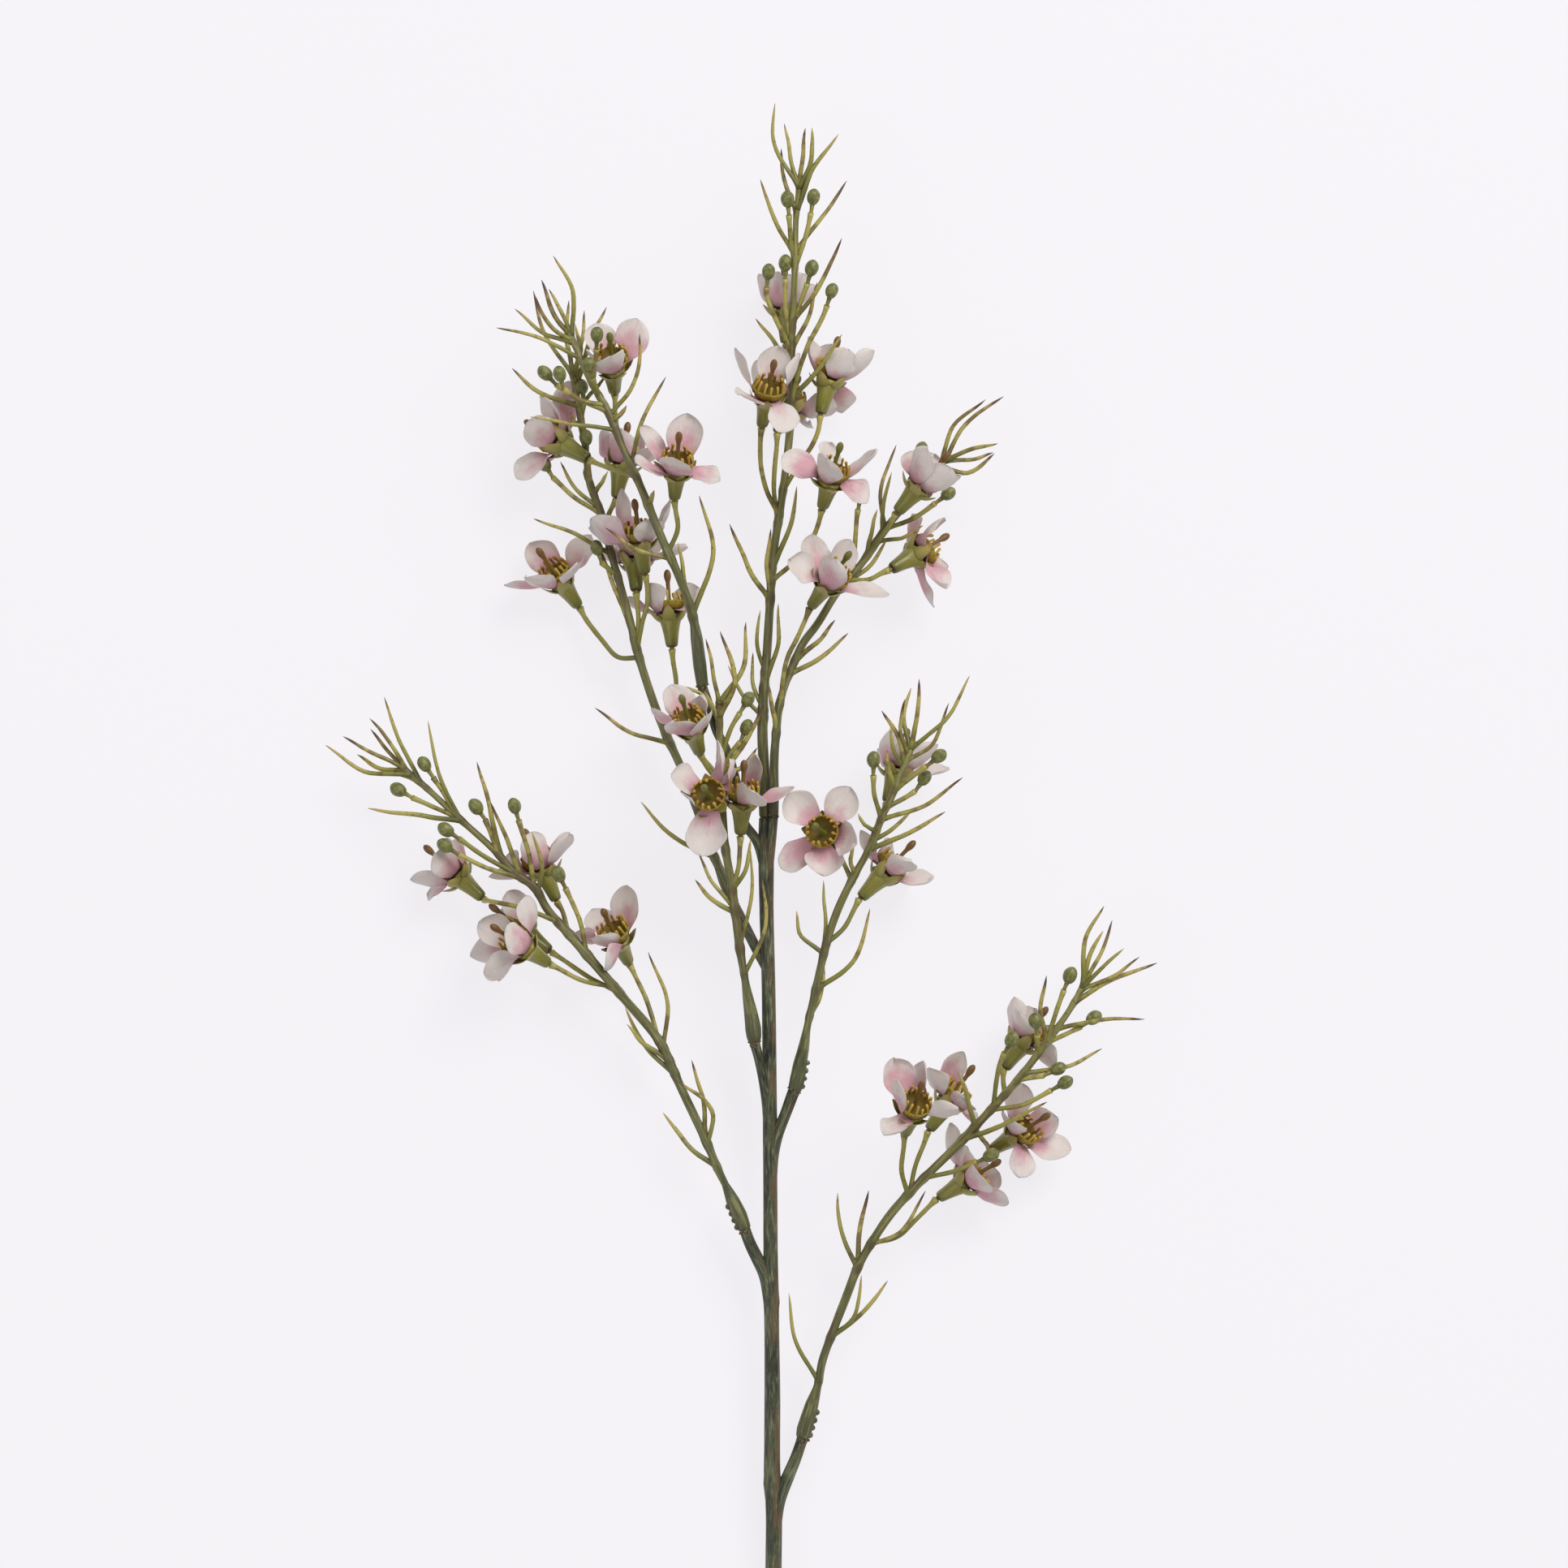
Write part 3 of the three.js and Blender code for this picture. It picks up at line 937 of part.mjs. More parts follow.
// ---- the scene graph ----
function named(name, body, colour) {
  const { vertProperties, triVerts } = body.getMesh();
  const geometry = new THREE.BufferGeometry();
  geometry.setAttribute('position', new THREE.BufferAttribute(new Float32Array(vertProperties), 3));
  geometry.setIndex(Array.from(triVerts));
  geometry.computeVertexNormals();
  const material = new THREE.MeshStandardMaterial({
    color: colour, roughness: 0.6, metalness: 0, flatShading: true,
  });
  const mesh = new THREE.Mesh(geometry, material);
  mesh.name = name;
  return mesh;
}

const stemGroup = new THREE.Group();
stemGroup.add(named('main_stem', mainStem(), DARK_GREEN));
for (const sprig of SPRIGS) {
  stemGroup.add(named(`${sprig.name}_sprig`, sprigBody(sprig), GREEN));
  sprig.flowers.forEach((flower, k) => {
    stemGroup.add(named(`${sprig.name}_petals_${k + 1}`, petalWhorl(flower), PETAL_COLOUR));
  });
}

// the origin is under the middle of the whole spray, on the surface that it lies on
const box = new THREE.Box3().setFromObject(stemGroup);
const middle = box.getCenter(new THREE.Vector3());
stemGroup.position.set(-middle.x, -middle.y, -box.min.z);

const part = new THREE.Group();
part.add(stemGroup);

export default part;
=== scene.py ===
import math
import random

import bpy
import numpy as np
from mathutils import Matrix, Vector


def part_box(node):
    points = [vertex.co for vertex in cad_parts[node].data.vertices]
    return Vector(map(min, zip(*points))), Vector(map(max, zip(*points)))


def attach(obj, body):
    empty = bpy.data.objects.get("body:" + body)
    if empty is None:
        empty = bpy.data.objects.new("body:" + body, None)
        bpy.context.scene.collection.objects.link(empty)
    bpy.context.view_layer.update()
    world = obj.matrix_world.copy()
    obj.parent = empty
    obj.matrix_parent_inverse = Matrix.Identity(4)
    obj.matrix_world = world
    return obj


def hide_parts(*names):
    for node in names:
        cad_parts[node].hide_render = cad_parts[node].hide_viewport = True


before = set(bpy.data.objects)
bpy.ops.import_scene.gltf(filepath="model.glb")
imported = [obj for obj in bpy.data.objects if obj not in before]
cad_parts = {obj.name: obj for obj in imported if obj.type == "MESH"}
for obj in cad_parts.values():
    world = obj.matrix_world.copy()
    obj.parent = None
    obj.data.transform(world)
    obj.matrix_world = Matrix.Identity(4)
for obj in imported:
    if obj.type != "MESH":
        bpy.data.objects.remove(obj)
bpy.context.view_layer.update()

# Waxflower stem lying on a table: finer skins over its solids, their finishes, light and camera.
# The shape is given in millimetres in a flat drawing, x to the right, y towards the tip, z up.

MM = 0.001

# ---- points of the solids that tell where the drawing lies in the frame ----
FOOT_UNDERSIDE = 0.111
LEFT_TIP = -138
TOP_TIP = 450.4

# ---- flowers ----
MOUTH = 11
PETAL_LENGTH = 12.5
PETAL_HALF_WIDTH = 5.2
PETALS = 5
RING_RADIUS = 3.9
STAMENS = 14
CUP_FLUTES = 26
SEPAL_REACH, SEPAL_HEIGHT = 7.3, 10.3

# ---- the bar and its arms: axis points [x, y, z, radius] ----
MAIN_AXIS = [
    [0, -70, 2.6, 2.7], [0, 0, 7.2, 2.5], [0, 20, 8.4, 2.55], [-0.3, 25.5, 8.7, 2.85], [-0.4, 28, 8.8, 2.6],
    [-0.4, 36, 9.2, 2.45], [-0.3, 52, 10.1, 2.4], [-0.5, 72, 11.2, 2.3], [-0.6, 79.5, 11.6, 2.35],
    [-0.6, 81.5, 11.7, 2.55], [-0.7, 84, 11.8, 2.4], [-0.9, 98, 12.5, 2.2], [-1, 115, 13.3, 2.2],
    [-1.1, 133, 14.2, 2.25], [-1.2, 150, 15, 2.15], [-1.5, 180, 16.5, 2.15], [-2.2, 205, 17.8, 2.2],
    [-2.3, 222, 18.8, 2.45], [-2.35, 231, 19.2, 2.1],
]

STUBS = [
    [
        [-1.6, 214, 18.4, 1.4], [-0.6, 223, 21.4, 1.4], [0.1, 231.3, 22.7, 1.35],
    ],
    [
        [-2.3, 214, 18.4, 1.5], [-5.5, 224.6, 19, 1.5], [-8.8, 229, 19.3, 1.5], [-11, 240, 20, 1.45],
        [-14.5, 252, 21.5, 1.45], [-17.5, 258, 22.5, 1.4], [-19.5, 265, 23.4, 1.4], [-21.7, 271.3, 24.3, 1.4],
    ],
    [
        [-1.6, 184, 16.7, 1.7], [-6.5, 193, 14.5, 1.6], [-9.5, 199, 13.2, 1.6], [-12, 204, 12.5, 1.5],
    ],
    [
        [-1.25, 136, 14.5, 1.9], [-1.9, 144, 15, 1.85], [-3.1, 151, 16.4, 1.65], [-4.6, 157.5, 17.9, 1.55],
        [-5.7, 161.6, 19, 1.65],
    ],
    [
        [-0.9, 120, 13.6, 2], [-0.4, 127, 14, 2.05], [1, 133, 14.4, 1.95], [3.6, 139.5, 14.9, 1.75],
        [6.3, 146.7, 15.6, 1.85],
    ],
    [
        [-0.7, 76, 11.5, 2.05], [-1.4, 84, 11.9, 2.15], [-2.6, 90, 12.2, 2.1], [-4.9, 95, 12.5, 1.95],
        [-7.4, 100.3, 12.9, 1.8], [-8.6, 103.5, 13.1, 1.75],
    ],
    [
        [0.1, 8, 7.7, 2.25], [0.5, 14, 8.1, 2.3], [1.6, 20, 8.5, 2.15], [4.3, 27, 8.9, 1.95],
        [6.8, 33, 9.1, 1.78], [8.8, 38.9, 9.3, 1.7],
    ],
]

# ---- the sprigs ----
# stem: axis points [x, y, z, radius], from the foot of the sleeve to the tip.
# nubs: 1 for nubs down the left side of the sleeve, -1 for its right side.
# needles: [root x, y, middle x, y, tip x, y, rise of the tip over the root].
# buds: [x, y, rise over the root, and the x, y of each point of its stalk down to the stem].
# flowers: [foot, mouth, points of its stalk down to the stem, five petals, style, blush]. The style is
# brown and the blush, which is the least tone of its petals, is 0 where they aren't given.
# petals: [tip x, y, share of the rise that its length leaves, half-width seen from above, curl in
# degrees]. The half-width is below 0 where its back looks up.

CROWN = dict(name="crown", stem=[
    [-2.35, 231.4, 19.3, 2.1], [-2.5, 236, 19.6, 2.2], [-2.8, 244, 20, 1.7], [-3.3, 256, 20.3, 1.6],
    [-2.9, 270, 20.5, 1.5], [-2.2, 280, 20.5, 1.35], [-1.1, 297, 20.5, 1.3], [0, 312, 20.5, 1.25],
    [2.7, 330, 20.5, 1.2], [4.6, 346, 20.8, 1.2], [5.5, 358, 22, 1.15], [5.6, 375, 25, 1.1],
    [6.2, 390, 28, 1], [6.6, 402, 29, 0.95], [7, 416, 29, 0.85], [8, 425.5, 29, 0.8],
], needles=[
    [7.9, 424.5, -0.4, 441, 0.5, 450.4, 3], [7.8, 424, 5.4, 434, 3.3, 444.5, -2],
    [8, 424.5, 8.8, 434, 9.8, 443, 1], [8, 424.5, 11.9, 434.5, 11.8, 442.8, 6],
    [7.2, 418, 12.4, 430.5, 20, 441, 4], [7, 417, 3.2, 427.5, 2.4, 437, -4], [6.7, 404, 0.2, 415, -4, 427, 4],
    [6.7, 405, 16, 417, 22.5, 427, -3], [5.9, 384, 14.6, 395, 21, 409, 6],
    [5.6, 375, 10.5, 385, 13.5, 396, -3], [5.5, 364, -0.3, 378, -5.5, 385, -6],
    [5.5, 360, 14.6, 370, 21, 379.5, 10], [-0.3, 308, 5, 320, 7.2, 333, 4],
    [-2.8, 271, 1.3, 285, 1.5, 297, 5], [-1.1, 298, -7.6, 308, -13.5, 321.5, 5],
    [-2.6, 276, -5.3, 285.6, -4, 295, 3], [-3.2, 264, -6.6, 274, -6.3, 282, -3],
    [-3.3, 262, -9, 268, -14, 278, 2], [-1.1, 299, -1.9, 310, -0.8, 320, 5],
], buds=[
    [4.3, 421.2, 4, 4.8, 416, 5.4, 408, 6.5, 401], [12.3, 422, 2, 11.5, 416.5, 10, 410, 6.6, 400],
    [3.7, 401.8, 4, 3.6, 396, 3.8, 388, 5.6, 377], [-1.5, 399, 7, -2.2, 393, 0, 386, 5.6, 375],
    [11.8, 400.2, 3, 10.4, 395, 8.5, 390, 5.9, 382],
    [18, 393, 12, 15.8, 386.5, 10.5, 376, 6.2, 362, 5.4, 357],
], flowers=[
    [[3.8, 377.5, 14], [3.6, 388.4, 13.2], [[4.3, 373, 17], [5, 367, 20.4], [5.5, 360.5]], [
        [-4.9, 398.8, -0.18, -2.8, 16], [2.2, 399, 0.82, -3.8, 51], [8.8, 398.9, 0.59, -3.2, 20],
        [13, 395.7, -0.28, -1.5, 4], [4.1, 399.4, -0.78, 4.5, 26]]],
    [[-3.6, 351.5, 27], [-1.8, 360.5, 33], [[-4, 347], [-3.9, 340], [-2.5, 333], [1.7, 324]], [
        [-11.7, 375.4, 0.17, -1, 42], [-10.2, 360.8, 0.98, 1.4, 23], [5.5, 349.8, 0.4, 4.8, 10],
        [7.9, 374, 0.17, -0.9, 43], [1.2, 376.4, -0.25, 5.4, 31]]],
    [[1.3, 350, 21.6], [4.3, 358, 15.2], [[1, 345.5], [0.3, 338], [0.2, 331], [1.2, 322]], [
        [-5.5, 372, 0.93, -4.4, 26], [9.5, 373.5, 0.1, -0.7, 63], [19.9, 358.3, -0.94, -3.8, 18],
        [9.8, 354.3, -0.56, 3.7, 9], [-4.6, 360.3, -1, -1.9, 40]]],
    [[14.5, 355.5, 21.5], [17, 366.3, 20], [[14, 351], [12.5, 347], [8, 340], [3, 332]], [
        [11.1, 379.4, -0.06, 2.2, 32], [31.3, 374.7, -0.47, -2.6, 44], [22.8, 375.4, 0.41, -5.1, 26],
        [21.4, 356.2, -0.95, -4.9, 28], [18.7, 377.1, -0.58, 5.4, 75]]],
    [[15, 326.3, 31], [17.6, 335.2, 36], [[14, 322], [12.5, 318], [9.5, 313], [-0.6, 304]], [
        [3, 342.8, -0.3, 4.3, 26], [16.2, 341.3, 0.99, -3.7, 29], [29.1, 328.1, -0.02, 3.4, 3],
        [31.9, 344.3, 0.01, 2, 24], [17.5, 346.2, -0.63, 3.2, 25]], "green"],
])

UPPER_RIGHT = dict(name="upper_right", stem=[
    [0.1, 231.7, 22.8, 1.4], [0.2, 238, 23.2, 1.45], [0.3, 250, 23.4, 1.4], [0.8, 256, 23, 1.2],
    [2.1, 267, 22.4, 1.2], [5.9, 278, 21.6, 1.2], [9.2, 285, 21, 1.2], [13, 290, 20.5, 1.2],
    [20, 301, 20, 1.2], [26, 308, 20, 1.15], [36, 322, 20, 1.1], [45, 332, 19.5, 1], [53, 341.3, 19.5, 0.8],
], needles=[
    [51, 339, 55.6, 351.6, 65.3, 359.8, 4], [52.8, 341, 59.3, 352.5, 71, 361, -3],
    [52.8, 341, 61.5, 344.7, 69, 346.2, 5], [52.8, 341, 60.2, 341.4, 67.8, 343.8, -5],
    [51, 339, 60, 337.4, 68.1, 343.3, 1], [34.2, 319.8, 33.2, 333, 37.9, 346.1, -5],
    [29, 312.2, 30, 319, 32, 326, 5], [31.5, 316.4, 39.5, 317.3, 46, 321, 7],
    [21.5, 303, 29, 308, 35, 317, -4], [6.5, 279.3, 12.2, 284, 19, 292, 3],
    [5, 275.5, 15, 280.3, 23, 288, -3], [0.9, 257, -0.3, 265, -1.2, 271.5, 4],
    [33.3, 318.8, 34.2, 330, 36.4, 337.5, 3],
], buds=[
    [45.8, 345, -6, 44.6, 340, 41, 327.5], [54, 331, 3, 50.6, 328.5, 43.5, 323.5, 34.5, 320.3],
    [27, 331, 4, 25.8, 324.5, 25.3, 318, 24.5, 306.3],
], flowers=[
    [[38, 325, 32], [45.2, 333.2, 34], [[36, 321.5], [31, 314]], [
        [43.7, 343.9, -0.11, 4.5, 35], [47, 344.5, 1, -4.2, 29], [54.5, 338.3, 0.73, -5, 24],
        [57.3, 336.7, 0.16, -1.6, 32], [50.5, 342.4, -0.53, 5.2, 27]]],
    [[36.3, 307.7, 20.6], [44.4, 312.6, 15.6], [[33.5, 306.5], [29.5, 304.5], [23, 304.5]], [
        [43, 325.1, -0.46, -1.8, 15], [52.7, 323.6, 0.45, 0.7, 54], [54.1, 308.5, -0.19, 2.9, 70],
        [53.7, 301.7, 0.86, 3.3, 32], [49.8, 296.1, -0.37, -0.7, 45]], "brown", 0.75],
    [[11.5, 296, 29], [17, 303.5, 35], [[10, 292.5], [7.6, 287], [4.6, 281], [1.8, 266]], [
        [12.2, 318.2, -0.73, 4.5, 58], [4.5, 310.2, 0.6, 4.3, 30], [19.2, 310.2, 0.87, -4.8, 35],
        [35.6, 299.7, 0.37, 2.5, 11], [24.4, 316.1, -0.65, 4.5, 19]], "green"],
])

LEFT_FRONT = dict(name="left_front", stem=[
    [-21.85, 271.7, 24.4, 1.8], [-22.6, 278, 25.4, 2.1], [-23.5, 286, 27, 1.9], [-24.2, 290.5, 28.5, 1.4],
    [-25.9, 297, 31, 1.3], [-29.2, 305.5, 33.5, 1.3], [-33.6, 315.3, 35.5, 1.3], [-37.7, 325.5, 36, 1.25],
    [-41.8, 335.3, 36, 1.2], [-46.4, 345, 35, 1.1], [-50, 354, 34, 1.1], [-57, 367, 32, 1],
    [-62.5, 380, 30, 0.85],
], needles=[
    [-62.2, 379, -61.4, 392.5, -67.5, 403.5, 4], [-62.4, 379.5, -65.3, 387, -69, 393.5, 1],
    [-62.2, 378.8, -67, 385.5, -71.3, 396.5, -3], [-61.8, 377.5, -68.7, 382, -73.5, 392, 4],
    [-61.5, 376.5, -71, 380.5, -79.5, 387.5, -2], [-59.5, 372, -72, 378.5, -85, 381.5, 2],
    [-50.2, 354.5, -41.6, 367, -41, 379.5, 4], [-43.5, 339.3, -39.3, 355, -33, 366.5, -3],
    [-48.6, 350, -61, 351.9, -74.5, 354, 4], [-24.8, 293, -18.5, 315, -22.8, 330, 3],
    [-25.7, 296.5, -27.6, 306, -29.2, 315.5, 4], [-31.5, 310.5, -41.5, 313.5, -51.5, 320, 4],
    [-49.3, 352.5, -47, 355, -45, 357.5, 3], [-38.3, 327, -37.3, 329, -36.5, 331.5, 3],
], buds=[
    [-70.2, 367.7, 2, -67.6, 365, -62.5, 361, -51, 355.8],
    [-65.5, 367.3, 7, -64.6, 363.5, -60, 359.6, -52, 357.7],
    [-54, 379.3, 9, -54.2, 375, -54.7, 370, -55.5, 364.2], [-56.5, 370, 8, -55.6, 366.5, -53.5, 360.5],
], flowers=[
    [[-48.9, 362, 22.5], [-49.5, 370, 30], [[-48.7, 358.5], [-48.6, 355.5], [-47.6, 348]], [
        [-54.6, 383.3, -0.37, 5, 26], [-56, 373.6, 0.43, -1.4, 17], [-49.5, 372.5, 1, -4.7, 29],
        [-43.1, 379.9, -0.66, -1.2, 8], [-41.7, 384.5, -0.2, 5.2, 3]], "green"],
    [[-30.3, 329, 35.5], [-29.6, 338, 42], [[-30, 325.5], [-29.3, 320], [-32.5, 312.5]], [
        [-42.1, 339.6, 1, 2, 26], [-30, 340.8, 1, -4.8, 26], [-16.5, 334, 0.2, 2.8, 26],
        [-26.3, 355.2, -0.4, 5.6, 26], [-40.8, 351, -0.1, 2.8, 26]]],
    [[-57, 341.5, 21.2], [-66, 347, 16.6], [[-54, 340], [-49, 338], [-42, 335.7]], [
        [-79.5, 335.9, 0.02, 3.6, 19], [-76.5, 351.8, 0.85, -5.1, 21], [-72, 361.2, 0.39, 2.4, 43],
        [-63.2, 365.9, -0.3, -3.7, 12], [-70.4, 341, -0.89, 0.8, 28]]],
])

LEFT_BACK = dict(name="left_back", stem=[
    [-12.25, 204.4, 12.4, 1.7], [-13.6, 208, 12.2, 2], [-15.3, 212, 12, 1.9], [-17, 216, 12, 1.4],
    [-18.6, 219.7, 12, 1.35], [-24, 235, 12, 1.35], [-28.9, 247.5, 12, 1.3], [-32.8, 256, 12, 1.3],
    [-38.2, 270, 12.5, 1.3], [-42.6, 284.6, 14, 1.25], [-44, 291, 15, 1.2], [-46.8, 301.5, 16, 1.2],
    [-50.5, 314, 16.2, 1.15], [-53.8, 326.4, 15.2, 1.1], [-56.7, 334.5, 14.6, 1.05], [-58, 345, 15.2, 1],
    [-60, 358, 20, 0.95], [-62, 368, 22, 0.85],
], needles=[
    [-62, 367.6, -71, 381.5, -74, 393.5, -3], [-62, 367.5, -63.7, 383, -63, 390.5, -2],
    [-61.4, 365, -58.9, 379, -58.3, 387.5, -4], [-61, 363, -56.8, 377, -51.5, 388.5, -4],
    [-61.7, 367, -59.5, 375, -61, 383, 2], [-60, 358, -71, 361.5, -80.5, 369.5, 1],
    [-54, 327, -60.5, 332, -65.8, 341, -2], [-50, 312.5, -61.5, 318.5, -74, 323.3, 1],
    [-42.9, 286, -48, 300, -53.5, 314, 3], [-32, 254, -43, 257, -55.1, 265, 3],
    [-18.3, 219, -31, 225, -40.9, 236, 3], [-59, 351, -61.5, 353.5, -62.5, 356, 3],
    [-56, 332.5, -58, 336, -58.4, 339.5, -2], [-55.5, 331, -53, 334.5, -51, 338, 1],
    [-59.7, 356, -56.2, 362, -51, 368, -3],
], buds=[
    [-57.8, 348.5, 3.4, -57.4, 344, -56.4, 334], [-59, 364, 3, -58.4, 359.5, -59.4, 354],
    [-54.5, 314.5, 3, -53.2, 310.5, -48, 305.5], [-70.8, 340.5, -1, -68, 336, -61.5, 330, -53.6, 325],
], flowers=[
    [[-48.4, 329.8, 13.2], [-46.8, 340.4, 12.6], [[-50, 326.5], [-52.4, 321]], [
        [-53.6, 350.3, -0.3, -2.5, 38], [-46.3, 350.7, 0.59, -4.6, 19], [-34.2, 345.4, 1, -2.2, 24],
        [-40.9, 349.9, -0.28, 3.1, 31], [-49.6, 346.9, -0.75, 4.6, 34]]],
    [[-60.3, 296.5, 6.5], [-66, 304.5, 11], [[-58.6, 293.5], [-53, 286], [-48, 280.7], [-41.3, 280.5]], [
        [-83.2, 302.8, 0, -1.3, 26], [-75.9, 305.1, 0.78, -2.1, 25], [-60.1, 309.2, 1, -0.8, 26],
        [-57, 318.9, 0.14, 4.3, 28], [-74.5, 316.8, -0.3, 5.2, 26]]],
    [[-39.5, 306.5, 20], [-41, 316.7, 23.5], [[-39, 303], [-38.8, 298], [-40.5, 291], [-42.2, 283]], [
        [-56.9, 320.5, 0.75, -3, 26], [-46.8, 332.6, -0.38, 2.5, 80], [-37.2, 322, 0.69, -4.2, 36],
        [-31.8, 329.4, -0.62, 0.7, 61], [-56.4, 322.8, -0.37, -3.9, 52]]],
    [[-42.3, 301, 17], [-42.6, 310.4, 12.4], [[-42, 297.5], [-41.6, 292], [-42, 284]], [
        [-53.2, 312.2, -0.27, -1.8, 35], [-43.4, 324.1, -0.55, -6.1, 7], [-26.4, 314.6, 0.02, -1, 33],
        [-37.5, 318.5, -0.86, 4, 33], [-47.7, 317.2, -0.94, 3.3, 22]]],
    [[-31.3, 283.7, 16.5], [-32, 294.5, 15.5], [[-31, 280], [-30, 272.5], [-33, 256.5]], [
        [-45.6, 297.4, -0.95, -1, 30], [-38.8, 303.2, 0, -3.6, 22], [-22.5, 301.3, 0.57, 2.7, 24],
        [-26.4, 303, -0.17, 2.6, 31], [-28.9, 298.2, -1, 3.2, 0]]],
])

CENTRE = dict(name="centre", stem=[
    [-5.8, 162, 19.1, 1.9], [-5.9, 163.8, 19.3, 2.25], [-6.1, 166, 19.5, 2.4], [-6.9, 171, 19.9, 2.05],
    [-7.9, 176, 20.4, 1.65], [-8.9, 181.7, 21, 1.08], [-10.2, 189.4, 22, 1.35], [-11.6, 201, 23.4, 1.3],
    [-12.8, 210.6, 24.4, 1.3], [-14.8, 222, 25, 1.25], [-16, 240, 25, 1.2], [-16.4, 252, 25.4, 1.1],
    [-16.8, 267, 26, 0.9],
], needles=[
    [-16.7, 266.8, -18.6, 276.5, -20.8, 286.2, 2], [-16.4, 262, -11.9, 272, -16.4, 288.4, 3],
    [-16.6, 266, -9.6, 277, -8.5, 291.3, 0], [-16.5, 261, -22.5, 269.5, -30.5, 272, 3],
    [-15.9, 244.3, -7.6, 256, -2.5, 267, 3], [-12, 203, -18.6, 211, -23.2, 220.5, -2],
    [-11.8, 202, -18.8, 205.8, -24.1, 212, -4], [-12.6, 209, -8.2, 216, -7, 224.5, 1],
    [-10.4, 191, -6.9, 206, -7, 221, 0], [-8.9, 182.7, -2.2, 198, -3.5, 212.3, 3],
    [-15.9, 244, -9.3, 246.8, -5, 252.7, -4], [-16.4, 260, -19, 266, -21.6, 270.5, 1.5],
], buds=[
    [-7.7, 267.7, 3, -9.8, 264.2, -12.6, 259.5, -16.2, 249],
    [-8.2, 259.2, 1, -9.6, 255.8, -12, 252.4, -16, 245],
    [-25.7, 256, 1, -23.7, 252.4, -21.3, 249, -16.1, 243],
], flowers=[
    [[-17.8, 234.8, 30.5], [-19.4, 237.5, 41], [[-17, 231, 27], [-14.6, 221]], [
        [-31.3, 244.4, 0.48, 3.4, 0], [-21.5, 219.3, 0.36, 6.1, 37], [-17.2, 255, 0.93, 0.7, 78],
        [-12, 249.2, -0.66, 0.7, 37], [-28, 238.9, 0.45, 1, 45]], "green"],
    [[-10.1, 226, 28], [-9.6, 236.3, 30.5], [[-10.3, 222], [-10.6, 217], [-12.6, 209]], [
        [-21, 243.1, 0.29, -1.5, 35], [-5.9, 239.4, 0.86, -5.2, 16], [6.5, 240.4, 0.23, 2, 42],
        [-5, 250.8, -0.68, 3.3, 19], [-14.9, 246.2, -0.92, -1.2, 35]]],
    [[-22.6, 251, 28], [-25.2, 259, 35], [[-21.5, 248.5], [-16.1, 241]], [
        [-37.1, 264.9, 0.43, -2, 38], [-29.8, 260.5, 0.89, -4.6, 23], [-21.1, 261.8, 1, -2.7, 30],
        [-21.9, 269.2, 0.05, 2.3, 37], [-30.8, 272.3, -0.31, 4.8, 31]], "green"],
])

